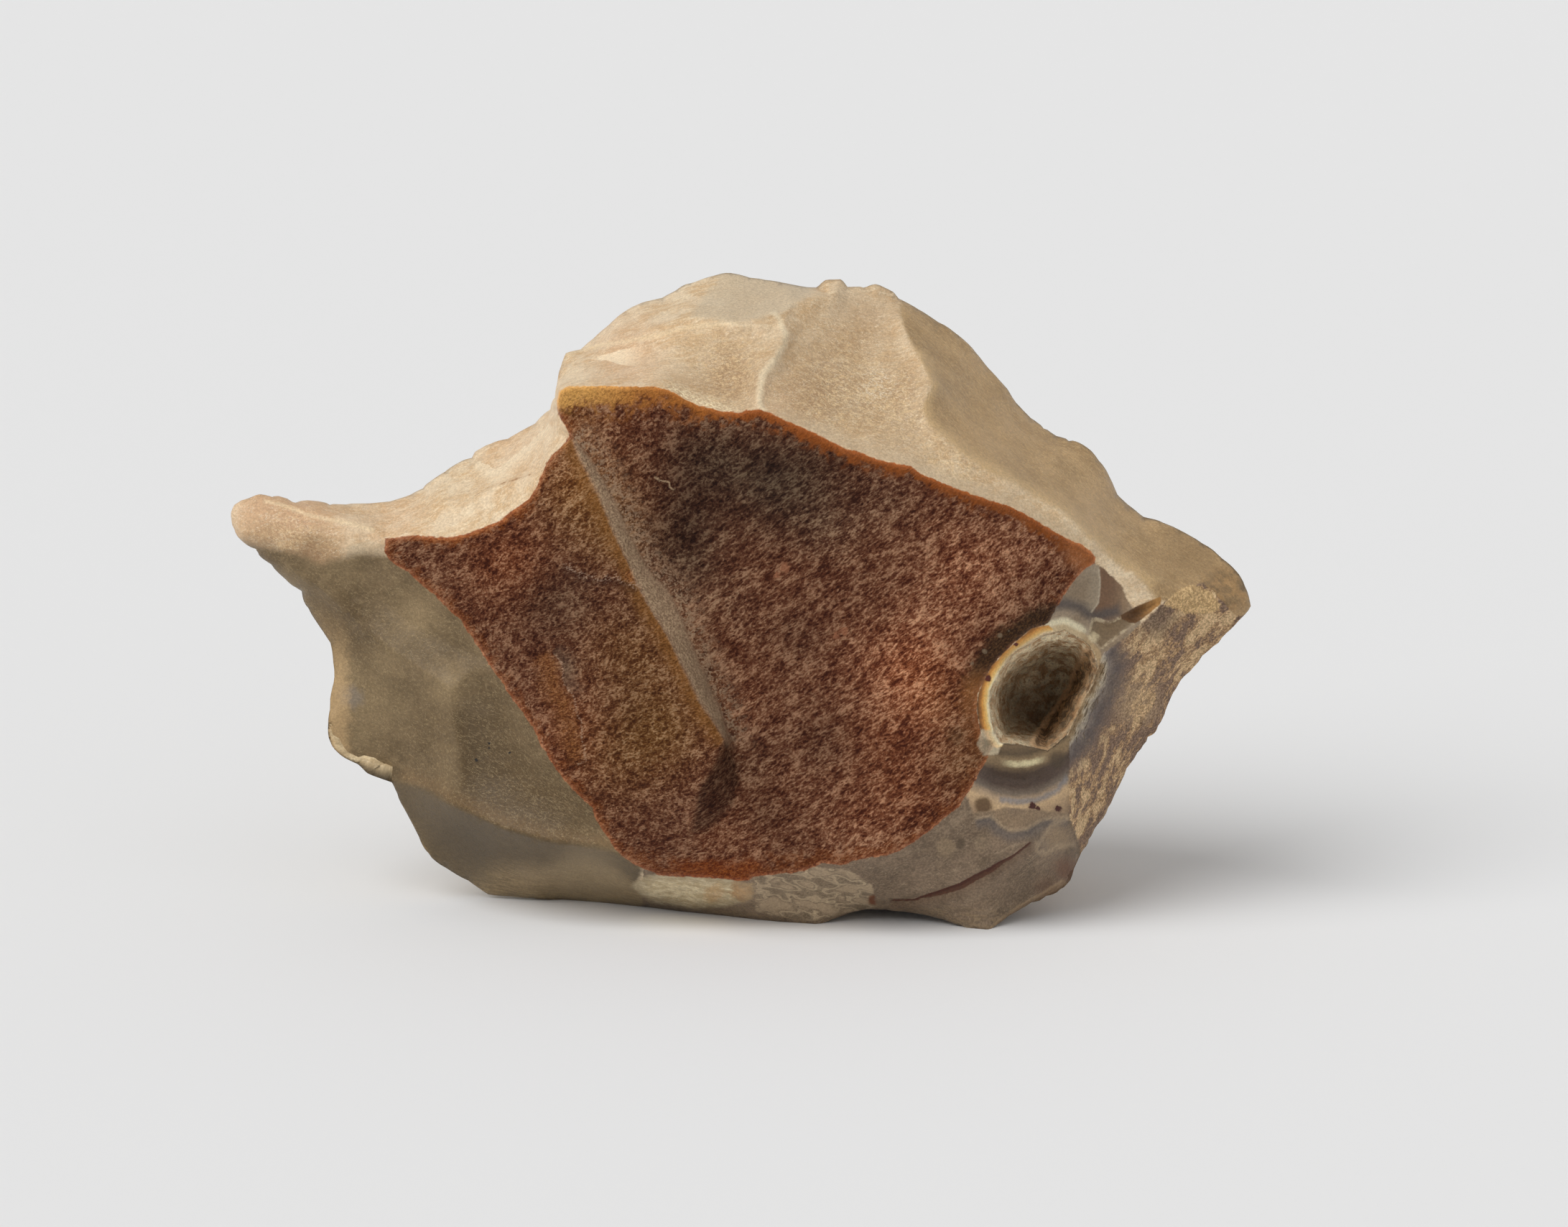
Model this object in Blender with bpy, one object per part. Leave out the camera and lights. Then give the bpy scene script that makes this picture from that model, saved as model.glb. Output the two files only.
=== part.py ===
"""A struck flint nodule: one closed stone with a horn, flake scars, a burrow hole and a small flat base.

The stone is drawn in millimetres from a viewpoint in front of it and a little above. A point is (u, v, w):
u to the right, v up, w away from the viewer. The drawing holds the outline, the ridges between the flake
scars of both sides, and how far each scar is dished. Each side is a skin stretched over its ridges, and
the two skins meet at the outline.
"""
import math

import bmesh
import bpy
import numpy as np
from mathutils import Vector, noise
from mathutils.geometry import delaunay_2d_cdt

# Driving sizes, in millimetres
LENGTH = 140.0             # horn tip to right-hand point, which the drawing below is made to
DRAWN_LENGTH = 140.0
VIEW_RISE = math.radians(12.0)
VIEW_DISTANCE = 1200.0
VIEW_AIM = (6.2, 43.4)     # the drawn point that the line of sight passes through
FOOT = (34.0, 0.0, -10.0)  # the front foot, lowest point of the drawing
BASE_CUT = 0.25            # how much of the foot and the base edge is worn flat
FRONT_CELL = 1.95          # size of the triangles in each skin
BACK_CELL = 3.2
BORDER_CELL = 2.6
RELAX_STEPS = 1500
LUMP_SIZE = 13.0           # width of the lumps in a facet, and how soon they reach full height
LUMP_REACH = 3.0
LUMP_SEED = 40.0
LEAST_PULL = -0.2          # keeps a sliver's corner from pushing its neighbours away

STONE_COLOUR = (0.42, 0.30, 0.20, 1.0)
STONE_ROUGHNESS = 0.55

# The outline, clockwise from the horn tip. A point without a depth takes it from its neighbours.
HORN_TOP = [
    (-70.0, 56.3, 0), (-69.5, 58.1), (-68.7, 59.1), (-66.9, 59.8, 0), (-64.0, 60.0), (-61.9, 60.0, 0.5),
    (-60.7, 59.1), (-56.9, 59.1, 1), (-55.9, 58.6), (-53.9, 58.3), (-50.5, 58.6), (-47.6, 58.7, 2),
    (-44.6, 59.8), (-43.1, 60.5, 2.5)]
LEFT_SHOULDER = [
    (-42.6, 61.2), (-40.1, 62.8), (-38.1, 64.3), (-36.5, 64.8, 3), (-36.1, 65.6), (-34.0, 66.7),
    (-31.5, 67.5), (-29.9, 68.4), (-27.8, 69.5, 3), (-26.7, 70.7), (-25.8, 71.3, 2.0), (-25.3, 73.0, -3.0),
    (-24.8, 75.4, -2), (-24.3, 77.3), (-23.6, 78.9, 2), (-21.6, 79.5, 3.5)]
CROWN = [
    (-19.9, 80.9, 5), (-17.9, 83.1), (-15.8, 84.7), (-13.4, 86.1, 7), (-10.3, 86.6), (-8.6, 87.7),
    (-6.9, 88.7, 8), (-3.6, 89.7), (-1.2, 90.2, 8), (1.7, 89.3), (5.7, 88.7, 7.5), (8.7, 88.0),
    (10.6, 88.1), (11.8, 89.1), (14.0, 89.1, 6.5), (14.9, 88.1, 6), (17.1, 88.0), (18.7, 88.5),
    (21.2, 87.5, 7), (21.9, 86.6, 7)]
RIGHT_SHOULDER = [
    (24.6, 85.0), (27.4, 83.2), (30.1, 81.5), (32.7, 78.9, 8), (33.9, 77.1), (36.3, 74.8), (38.0, 72.2),
    (40.1, 70.1, 8), (43.5, 67.7), (45.2, 67.3), (46.9, 66.8), (49.5, 64.5, 7), (50.9, 62.0),
    (51.8, 59.5, 6), (53.2, 58.4), (55.4, 56.6, 5), (57.3, 56.4), (60.0, 54.9, 4), (63.4, 53.2),
    (66.2, 50.8, 2.5), (68.1, 49.2), (69.2, 47.3), (70.0, 44.4, 0)]
RIGHT_SIDE = [
    (68.2, 42.2), (66.3, 40.1, 2), (63.4, 37.5), (61.0, 34.8, 4), (59.3, 32.5), (58.5, 30.2), (57.5, 27.8, 4),
    (56.4, 26.3), (54.5, 24.4, 4), (52.6, 21.3), (50.6, 17.0, 3), (48.8, 14.3), (46.9, 10.8, 1),
    (45.7, 7.5, -1), (44.0, 5.5, -3), (40.1, 3.8), (36.7, 1.9, -7.5), FOOT]
ARCH = [
    (31.1, 0.5, -9), (27.9, 1.5, -8), (25.0, 2.3, -7), (20.1, 2.8, -6.4), (17.4, 3.0, -6), (15.1, 2.5, -6),
    (12.6, 1.5)]
BASE_EDGE = [(10.5, 0.8), (5.8, 1.1), (2.8, 1.4), (-2.2, 2.0), (-8.0, 2.6), (-12.6, 3.2), (-18.8, 3.8), (-24.0, 4.2)]
LEFT_SIDE = [
    (-28.0, 4.4, 5.8), (-34.2, 4.9, 7), (-36.9, 6.8), (-40.0, 8.5, 5.5), (-42.8, 10.5), (-43.7, 12.8, 4),
    (-45.4, 16.0), (-47.0, 19.1), (-47.5, 20.2, 2), (-50.9, 21.4), (-51.8, 22.7), (-54.5, 23.8, 1.5),
    (-56.1, 25.8), (-56.1, 28.3, 1), (-55.8, 32.2), (-55.1, 35.7, 1), (-55.9, 39.4), (-57.8, 42.2),
    (-60.0, 45.9, 1), (-62.2, 47.4), (-64.3, 50.4), (-66.2, 51.6, 1), (-68.3, 53.0), (-69.5, 54.8, 0)]

# The front: a right-hand brown field, a left-hand brown plate that stands proud of it, and the scars
# around them
CORNER_TOP = (-22.6, 67.5, -16)
PLATE_TIP = (-48.2, 53.7, -6)
PLATE_SIDE = (-48.2, 51.1, -6)
SCARP_END = (-4.8, 12.9, -16.5)
SCARP_TAIL = (-4.6, 7.4, -13.6)
FIELD_TIP = (48.6, 51.0, -13)
FORK = (-39.5, 32.3, -9)
FOLD_BEND = (-39.3, 17.2, -7)
FRONT_RIDGES = {
    "field_left": [CORNER_TOP, (-24.0, 69.4, -15), (-24.7, 72.3, -13), (-24.2, 74.0, -13)],
    "field_top": [
        (-24.2, 74.0, -13), (-20.2, 74.5, -15.5), (-10.9, 74.4, -19), (-5.5, 71.8, -20), (-0.7, 70.8, -20.5),
        (2.9, 71.3, -20.5), (8.0, 69.1, -21), (14.4, 65.9, -22), (23.5, 63.5, -22), (30.2, 60.3, -21),
        (38.4, 57.4, -18.5), (43.5, 54.3, -16), FIELD_TIP],
    "field_right": [FIELD_TIP, (46.2, 48.3), (45.1, 46.9, -14.5), (42.9, 43.2, -15.5), (42.5, 42.1, -15.7)],
    "hole_collar": [
        (42.5, 42.1, -15.7), (40.3, 41.1, -17.4), (38.1, 39.7, -18.4), (36.2, 38.0, -19), (34.6, 36.2, -19.4),
        (33.5, 34.3), (32.7, 32.4, -19.8), (32.6, 30.2), (33.1, 28.1), (33.5, 26.7, -19.5)],
    "field_bottom": [
        (33.5, 26.7, -19.5), (33.9, 24.3, -18.6), (33.4, 22.7, -18.2), (31.3, 18.9, -18), (28.6, 15.9, -18.3),
        (25.4, 13.4, -18.4), (20.1, 10.4, -18), (14.0, 9.1, -17), (7.4, 8.0, -15.5), (1.2, 6.8, -14),
        SCARP_TAIL],
    "plate_bottom": [
        SCARP_TAIL, (-10.8, 7.7, -13), (-12.9, 8.6, -13.2), (-14.5, 9.4, -13.5), (-16.3, 10.6, -13.8)],
    "plate_left": [
        (-16.3, 10.6, -13.8), (-17.5, 12.2, -14), (-19.9, 16.8, -14.5), (-23.1, 20.0), (-26.0, 24.0, -14),
        (-28.0, 27.7, -13.5), (-32.3, 34.0, -11.6), (-34.6, 37.5, -10.5), (-38.0, 42.6, -9),
        (-41.2, 45.7, -8), (-44.6, 48.6, -7), PLATE_SIDE],
    "plate_end": [PLATE_SIDE, PLATE_TIP],
    "plate_top": [
        PLATE_TIP, (-44.3, 54.1, -7.5), (-38.2, 54.0, -10), (-34.8, 55.2, -11.2), (-31.1, 57.4, -12.5),
        (-28.7, 59.1, -13.5), (-27.0, 62.2, -14.4), (-25.3, 65.3, -15.4), CORNER_TOP],
    "scarp_top": [
        CORNER_TOP, (-20.8, 62.7, -18), (-16.3, 52.8, -21), (-12.9, 45.7, -22.5), (-9.8, 40.5, -23.2),
        (-6.8, 34.3, -23.8), (-4.9, 30.6, -24), (-2.0, 26.3, -24.5), (-3.4, 22.9, -23.5),
        (-5.5, 19.2, -22), (-6.8, 14.9, -19), (-6.6, 13.4, -17.6), SCARP_END],
    "scarp_foot": [
        CORNER_TOP, (-20.2, 64.6, -16.4), (-16.8, 58.7, -17.8), (-13.7, 52.2, -18.8), (-8.4, 44.6, -19.5),
        (-5.2, 36.8, -20), (-2.2, 30.0, -20.5), (-0.9, 26.0, -20.8), (-0.2, 20.5, -19.5),
        (-1.2, 16.8, -18.5), (-2.5, 14.9, -17.5), SCARP_END],
    "scarp_tail": [SCARP_END, (-4.5, 9.7, -15), SCARP_TAIL],
    "horn_crest": [(-66.9, 59.8, 0), (-64.0, 58.9, -2.2), (-58.9, 57.6, -3.6), (-53.9, 56.2, -4.6),
                   (-50.9, 55.2, -5.3), PLATE_TIP],
    "horn_belly": [(-69.5, 54.8, 0), (-67.5, 54.2, -2.4), (-64.6, 53.6, -3.6), (-60.0, 52.6, -5),
                   (-54.8, 51.3, -5.5), PLATE_SIDE],
    "keel": [(-66.2, 51.6, 1), (-62.2, 49.8, -3), (-56.6, 46.8, -4), (-52.0, 42.5, -4),
             (-49.8, 40.3, -4.5), (-45.8, 37.5, -6), (-41.2, 34.5, -8), FORK],
    "keel_fork": [FORK, (-37.8, 34.8, -9.5), (-36.0, 35.5, -10), (-32.3, 34.0, -11.6)],
    "flank": [FORK, (-38.6, 26.8, -8.5), (-37.8, 21.2, -8), FOLD_BEND],
    "fold": [(-47.5, 20.2, 2), (-44.3, 19.8, -1), FOLD_BEND, (-35.1, 15.4, -9.5), (-32.7, 14.3, -11),
             (-26.0, 12.3, -13), (-19.5, 11.5, -14), (-16.3, 10.6, -13.8)],
    "hollow_end": [(-14.5, 9.4, -13.5), (-14.9, 7.6, -10), (-13.8, 5.6, -5), (-12.6, 3.2)],
    "chalk_end": [(1.2, 6.8, -14), (2.4, 4.3, -9.5), (2.8, 1.4)],
    "chips": [(14.0, 9.1, -17), (17.6, 6.6, -14), (18.9, 4.9, -11), (17.4, 3.0, -6)],
    "crack": [(20.1, 2.8, -6.4), (25.7, 4.7, -11.4), (30.1, 6.0, -13.4), (34.2, 8.2, -14.6),
              (37.4, 10.0, -15), (39.8, 12.0, -15)],
    "cortex_foot": [(46.9, 10.8, 1), (46.2, 12.4, -5), (45.1, 15.7, -11.5), (45.2, 18.4, -12.5),
                    (45.1, 21.1, -13), (45.3, 23.8, -13.5), (45.1, 27.3, -13.4)],
    "cortex_head": [(49.1, 36.2, -12.5), (51.3, 39.0, -12), (53.2, 40.5, -11), (55.3, 42.3, -10),
                    (57.7, 44.5, -8.5), (59.9, 46.4, -7)],
    "cortex_top": [(59.9, 46.4, -7), (63.4, 47.5, -4), (66.9, 44.9, -2.5), (70.0, 44.4, 0)],
    "right_crest": [
        (21.9, 86.6, 7), (22.1, 84.1, 1), (23.3, 80.9, -3), (24.7, 78.5, -7), (26.6, 74.7, -11),
        (25.2, 71.7, -14), (26.0, 69.4, -16), (30.8, 65.2, -17.5), (37.3, 61.3, -16.5), (44.6, 57.0, -14.5),
        (48.7, 53.1, -13), (51.5, 50.2, -11.5), (56.9, 47.5, -9), (59.9, 46.4, -7)],
    "crown_step": [
        (-21.6, 79.5, 3.5), (-17.7, 80.6, -1), (-11.2, 82.3, -4.5), (-6.9, 84.0, -4.5), (-1.9, 83.7, -6),
        (0.0, 82.8, -7), (6.3, 84.4, -5), (7.5, 86.0, -2), (13.0, 86.7, 2), (14.9, 88.1, 6)],
    "crown_rib": [(6.3, 84.4, -5), (6.5, 81.6, -8.5), (4.3, 77.6, -14), (2.8, 73.9, -18.5),
                  (2.9, 71.3, -20.5)],
    "shoulder_step": [(-27.0, 62.2, -14.4), (-31.8, 61.3, -8.5), (-36.0, 59.6, -7), (-41.0, 58.3, -4.8)],
    "lip": [(33.9, 24.3, -18.6), (36.5, 23.2, -17.6), (41.3, 22.9, -15.8), (45.3, 23.8, -13.5)],
    "groove": [(33.4, 22.7, -18.2), (35.2, 20.9, -16), (38.5, 20.4, -14.6), (42.0, 20.6, -13.4),
               (45.1, 21.1, -13)],
    "ledge": [(31.3, 18.9, -18), (35.0, 18.3, -17), (40.0, 18.0, -15.8), (45.2, 18.4, -12.5)]}

# The burrow hole: its rim, and the rings of its wall as (width kept, depth below the rim)
HOLE_RIM = [
    (41.6, 40.5, -16.2), (40.0, 39.4, -16.8), (38.1, 38.3, -17.2), (36.7, 37.0, -17.4), (35.4, 35.1, -17.5),
    (34.4, 32.9, -17.6), (34.2, 31.0, -17.6), (34.4, 28.9, -17.6), (35.0, 27.0, -17.5), (35.8, 25.8, -17.3),
    (38.1, 25.5, -16.6), (40.2, 25.1, -15.8), (42.3, 24.7, -14.9), (43.5, 25.7, -14), (45.1, 27.3, -13.4),
    (46.2, 29.4, -13), (47.2, 31.8, -12.8), (48.3, 33.7, -12.6), (49.1, 36.2, -12.5), (48.4, 38.2, -12.7),
    (47.0, 39.8, -13.2), (44.4, 41.1, -14.8)]
HOLE_CENTRE = (39.8, 31.8)
HOLE_RINGS = [(0.90, 1.6), (0.83, 5.0), (0.76, 9.0), (0.66, 13.0), (0.46, 16.0)]
HOLE_ROUGHNESS = 0.05

# Each facet of the front: (u, v of a point in it, dish (+) or swell (-) at its middle, height of its lumps)
FRONT_FACETS = {
    "right_field": (14, 40, -2.2, 0.5), "left_plate": (-22, 40, -0.8, 0.5), "crown_left": (-8, 79, 1.6, 0.4),
    "crown_back": (-6, 86.5, 0.8, 0.2), "crown_right": (14, 76, 1.5, 0.4), "right_slope": (45, 62, 0.8, 0.6),
    "left_band": (-33, 64, 1.0, 0.6), "horn_top": (-52, 57.2, 0.6, 0.2), "horn_front": (-59, 55, -1.2, 0.3),
    "horn_under": (-52, 46.5, 1.5, 0.5), "left_flank": (-50, 30, 1.8, 0.9), "mid_flank": (-33, 23, 1.5, 0.6),
    "hollow": (-30, 9, 1.5, 0.5), "chalk": (-6, 5, 0.4, 0.4), "chip_field": (9, 5, 0.6, 0.4),
    "foot_face": (30, 11, -0.6, 0.4), "cortex": (53, 32, -0.8, 1.0), "grey_pane": (47, 44, 0.8, 0.4)}

# The back: an uneven spine with long scars above it, one great scar below it to the left, and lumpy
# rind below it to the right, down to the base
BASE_BACK = [(-24.0, 7.0), (-12.0, 7.3), (6.0, 7.4), (22.0, 7.0)]
SPINE_LEFT = (-45.0, 50.0, 12.5)
SPINE_MID = (-8.0, 62.0, 26)
SPINE_PEAK = (12.0, 55.0, 29)
SPINE_RIGHT = (31.0, 49.0, 25)
TAIL_KNEE = (43.0, 45.0, 19)
RIB_KNEE = (-40.0, 37.0, 15.5)
BACK_RIDGES = {
    "spine_horn": [(-69.5, 54.8, 0), (-67.0, 55.3, 2.6), (-60.0, 54.8, 6), (-53.0, 52.0, 9), SPINE_LEFT],
    "spine_left": [SPINE_LEFT, (-38.0, 52.5, 16.5), (-31.0, 56.5, 19), (-24.0, 57.0, 22.5),
                   (-16.0, 61.0, 24), SPINE_MID],
    "spine_peak": [SPINE_MID, (-2.0, 59.5, 28), (5.0, 60.5, 28.6), SPINE_PEAK],
    "spine_right": [SPINE_PEAK, (18.0, 53.5, 28), (24.0, 54.5, 26.5), SPINE_RIGHT],
    "spine_tail": [SPINE_RIGHT, (37.0, 48.5, 22.5), TAIL_KNEE, (50.0, 44.5, 15.5), (57.0, 42.0, 10.5),
                   (64.0, 43.6, 5), (70.0, 44.4, 0)],
    "rib_shoulder": [SPINE_MID, (-11.0, 67.0, 23), (-16.5, 71.0, 19), (-19.5, 75.5, 11.5),
                     (-23.6, 78.9, 2)],
    "rib_crown": [SPINE_PEAK, (15.0, 61.5, 26.5), (14.0, 68.0, 24.5), (17.5, 74.5, 19.5),
                  (18.5, 81.5, 13), (21.9, 86.6, 7)],
    "rib_right": [SPINE_RIGHT, (34.5, 54.5, 22.5), (40.0, 57.5, 18.5), (43.5, 62.5, 13), (49.5, 64.5, 7)],
    "rib_left": [SPINE_LEFT, (-43.5, 43.0, 14), RIB_KNEE, (-36.5, 29.0, 17.5), (-31.0, 20.5, 18.5),
                 (-28.5, 13.0, 18.5), (-24.0, 7.0)],
    "rib_flank": [RIB_KNEE, (-46.0, 34.5, 12), (-51.0, 33.0, 7), (-55.8, 32.2)],
    "rib_belly": [SPINE_MID, (-9.0, 52.0, 27.5), (-4.0, 43.0, 28.5), (-3.5, 33.0, 27.5),
                  (-7.5, 24.0, 25.5), (-9.0, 15.0, 23), (-12.0, 7.3)],
    "rib_base": [SPINE_RIGHT, (34.5, 42.0, 25.5), (32.0, 33.0, 25), (31.0, 24.0, 24), (27.5, 15.5, 22),
                 (22.0, 7.0)],
    "rib_point": [TAIL_KNEE, (47.5, 38.0, 16.5), (51.0, 33.0, 12.5), (57.5, 27.8, 4)],
    "rib_foot": [(27.5, 15.5, 22), (36.0, 11.0, 12), (37.5, 6.0, 2), FOOT],
    "base_left": [(-24.0, 4.2), (-24.0, 7.0)],
    "base_right": [(10.5, 0.8), (16.0, 3.7), (22.0, 7.0)]}
BACK_FACETS = {
    "upper_left": (-36, 62, 2.6, 0.5), "upper_mid": (0, 74, 3.0, 0.5), "upper_right": (30, 68, 2.6, 0.5),
    "far_right": (56, 50, 1.2, 0.5), "great_scar": (-20, 34, 3.2, 0.6), "rind": (14, 36, -2.4, 2.4),
    "left_scar": (-48, 42, 1.5, 0.6), "lower_left": (-42, 22, -1.5, 1.2), "right_rind": (44, 26, -2.0, 1.6),
    "point": (60, 36, 0.8, 0.8), "arch": (27, 6, 0.8, 0.2)}


def foot_height():
    """Height of the line of sight's aim above the foot."""
    u, v, w = FOOT
    rise = (v - VIEW_AIM[1]) * (1 + w / VIEW_DISTANCE)
    return w * math.sin(VIEW_RISE) - rise * math.cos(VIEW_RISE)


def floor_depth(v):
    """Depth at which a point drawn at v lies just under the floor."""
    rise = (v - VIEW_AIM[1]) * math.cos(VIEW_RISE)
    return (foot_height() + rise) / (math.sin(VIEW_RISE) - rise / VIEW_DISTANCE)


def place(point):
    """World position, in metres, of a drawn point."""
    u, v, w = point
    spread = 1 + w / VIEW_DISTANCE
    across = (u - VIEW_AIM[0]) * spread + VIEW_AIM[0]
    rise = (v - VIEW_AIM[1]) * spread
    y = rise * math.sin(VIEW_RISE) + w * math.cos(VIEW_RISE)
    z = rise * math.cos(VIEW_RISE) - w * math.sin(VIEW_RISE) + foot_height() - BASE_CUT
    return Vector((across, y, z)) * (LENGTH / DRAWN_LENGTH / 1000)


def on_floor(points):
    return [(u, v, floor_depth(v)) for u, v in points]


def with_depths(line):
    """The line with every depth filled in, read evenly between the points that state one."""
    run = [0.0]
    for before, after in zip(line, line[1:]):
        run.append(run[-1] + math.dist(before[:2], after[:2]))
    known = [i for i, point in enumerate(line) if len(point) == 3]
    depths = np.interp(run, [run[i] for i in known], [line[i][2] for i in known])
    return [(point[0], point[1], depth) for point, depth in zip(line, depths)]


def split_long(line, cell):
    """The line with long stretches cut to about one cell."""
    points = [line[0]]
    for before, after in zip(line, line[1:]):
        pieces = max(1, round(math.dist(before[:2], after[:2]) / cell))
        start, end = np.array(before), np.array(after)
        points += [tuple(start + (end - start) * k / pieces) for k in range(1, pieces + 1)]
    return points


def outline():
    """The closed outline, anticlockwise, as drawn points."""
    loop = (HORN_TOP + LEFT_SHOULDER + CROWN + RIGHT_SHOULDER + RIGHT_SIDE + ARCH
            + on_floor(BASE_EDGE) + LEFT_SIDE)
    loop = with_depths(loop + loop[:1])
    return split_long(loop, BORDER_CELL)[:-1][::-1]


def closed_depths(ridges, border):
    """Ridges with their depths, where an end that states none takes the border's or the base's."""
    depth_at = {(round(u, 2), round(v, 2)): w for u, v, w in border + on_floor(BASE_BACK)}
    lines = []
    for line in ridges.values():
        ends = [point if len(point) == 3 else (*point, depth_at[point]) for point in (line[0], line[-1])]
        lines.append(with_depths([ends[0], *line[1:-1], ends[1]]))
    return lines


def hole_lines():
    """The rim of the burrow hole and the rings of its rough wall, as closed lines."""
    lines = [HOLE_RIM + HOLE_RIM[:1]]
    for width, depth in HOLE_RINGS:
        ring = []
        for u, v, w in HOLE_RIM:
            lump = noise.noise(Vector((u / 3, v / 3, depth / 4)))
            keep = width + HOLE_ROUGHNESS * lump
            ring.append((HOLE_CENTRE[0] + (u - HOLE_CENTRE[0]) * keep,
                         HOLE_CENTRE[1] + (v - HOLE_CENTRE[1]) * keep, w + depth))
        lines.append(ring + ring[:1])
    return lines


def field_of_points(lines, border, cell):
    """A hexagonal field of points inside the border, clear of every line."""
    low, high = np.min(border, axis=0)[:2], np.max(border, axis=0)[:2]
    row = cell * math.sqrt(3) / 2
    field = [(low[0] + cell * (i + j % 2 / 2), low[1] + row * j)
             for j in range(int((high[1] - low[1]) / row) + 1)
             for i in range(int((high[0] - low[0]) / cell) + 1)]
    field = np.array(field)
    drawn = [split_long(line, cell / 3) for line in [*lines, border + border[:1]]]
    drawn = np.concatenate([np.array(line)[:, :2] for line in drawn])
    gap = np.array([np.hypot(*(drawn - point).T).min() for point in field])
    return field[(gap > cell * 0.55) & inside(field, border)]


def inside(points, border):
    """Which of the points lie within the closed border, by counting crossings to their right."""
    u, v = points[:, :1], points[:, 1:]
    ends = np.array(border)[:, :2]
    starts = np.roll(ends, 1, axis=0)
    spans = (starts[:, 1] > v) != (ends[:, 1] > v)
    rise = np.where(spans, ends[:, 1] - starts[:, 1], 1)
    reach = starts[:, 0] + (v - starts[:, 1]) / rise * (ends[:, 0] - starts[:, 0])
    return (spans & (u < reach)).sum(axis=1) % 2 == 1


def triangulate(border, lines, cell):
    """Triangles of one side: their corners, which corners are drawn, and which edges are ridges."""
    points = [tuple(point) for point in border]
    edges = []
    for line in lines:
        start = len(points)
        points += line
        edges += [(start + k, start + k + 1) for k in range(len(line) - 1)]
    field = field_of_points(lines, border, cell)
    flat = [Vector(point[:2]) for point in points] + [Vector(point) for point in field]
    spots, joins, triangles, from_spots, from_joins, _ = delaunay_2d_cdt(
        flat, edges, [list(range(len(border)))], 1, 1e-4)
    depth = np.full(len(spots), np.nan)
    for i, sources in enumerate(from_spots):
        drawn = [k for k in sources if k < len(points)]
        if drawn:
            depth[i] = points[drawn[0]][2]
    ridge = [bool(sources) for sources in from_joins]
    return np.array([tuple(spot) for spot in spots]), depth, np.array(joins), np.array(ridge), triangles


def pulls(spots, triangles):
    """The triangles' sides, each with its pull: the cotangent of the angle that faces it."""
    corners = np.array(triangles)
    sides = []
    for k in range(3):
        tip, a, b = corners[:, k], corners[:, k - 2], corners[:, k - 1]
        to_a, to_b = spots[a] - spots[tip], spots[b] - spots[tip]
        turn = np.abs(to_a[:, 0] * to_b[:, 1] - to_a[:, 1] * to_b[:, 0])
        pull = np.maximum((to_a * to_b).sum(axis=1) / turn, LEAST_PULL)
        sides.append((a, b, pull))
    return [np.concatenate(column) for column in zip(*sides)]


def settle(sides, fixed, values, load):
    """Let the free points settle between the fixed ones, like a net under an even load."""
    a, b, pull = sides
    count = len(fixed)
    total = np.bincount(a, pull, count) + np.bincount(b, pull, count)
    for _ in range(RELAX_STEPS):
        drawn = np.bincount(a, pull * values[b], count) + np.bincount(b, pull * values[a], count)
        values = np.where(fixed, values, (drawn + load) / total)
    return values


def facet_of(triangles, joins, ridge, spots, seed):
    """Corners of the facet around a seed point: all that is reached without crossing a ridge."""
    walls = {tuple(sorted(join)) for join, is_ridge in zip(joins.tolist(), ridge) if is_ridge}
    across = {}
    for index, corners in enumerate(triangles):
        for k, corner in enumerate(corners):
            across.setdefault(tuple(sorted((corner, corners[k - 1]))), []).append(index)
    middles = np.array([spots[corners].mean(axis=0) for corners in triangles])
    first = int(np.hypot(*(middles - seed).T).argmin())
    reached, queue = {first}, [first]
    while queue:
        corners = triangles[queue.pop()]
        for k, corner in enumerate(corners):
            edge = tuple(sorted((corner, corners[k - 1])))
            if edge not in walls:
                fresh = [t for t in across[edge] if t not in reached]
                reached.update(fresh)
                queue += fresh
    return sorted({corner for t in reached for corner in triangles[t]})


def lump(spot):
    """Unevenness of a broken or weathered face, between about -1 and 1."""
    broad = noise.noise(Vector((*spot, LUMP_SEED)) / LUMP_SIZE)
    fine = noise.noise(Vector((*spot, -LUMP_SEED)) * 2.3 / LUMP_SIZE)
    return 1.6 * broad + 0.4 * fine


def skin(border, lines, facets, cell):
    """One side of the stone: drawn corners with their depths, and its triangles."""
    spots, depth, joins, ridge, triangles = triangulate(border, lines, cell)
    fixed = ~np.isnan(depth)
    start = np.where(fixed, depth, np.nanmean(depth))
    sides = pulls(spots, triangles)
    depth = settle(sides, fixed, start, 0.0)
    swell = settle(sides, fixed, np.zeros(len(spots)), 1.0)
    for u, v, dish, height in facets.values():
        facet = facet_of(triangles, joins, ridge, spots, (u, v))
        share = swell[facet] / swell[facet].max()
        lumps = np.array([lump(spot) for spot in spots[facet]])
        depth[facet] += dish * share + height * lumps * np.minimum(1, LUMP_REACH * share)
    return np.column_stack([spots, depth]), triangles


def add_skin(shape, corners, triangles, away):
    verts = [shape.verts.new(place(corner)) for corner in corners]
    for triangle in triangles:
        order = triangle[::-1] if away else triangle
        shape.faces.new([verts[i] for i in order])


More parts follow.
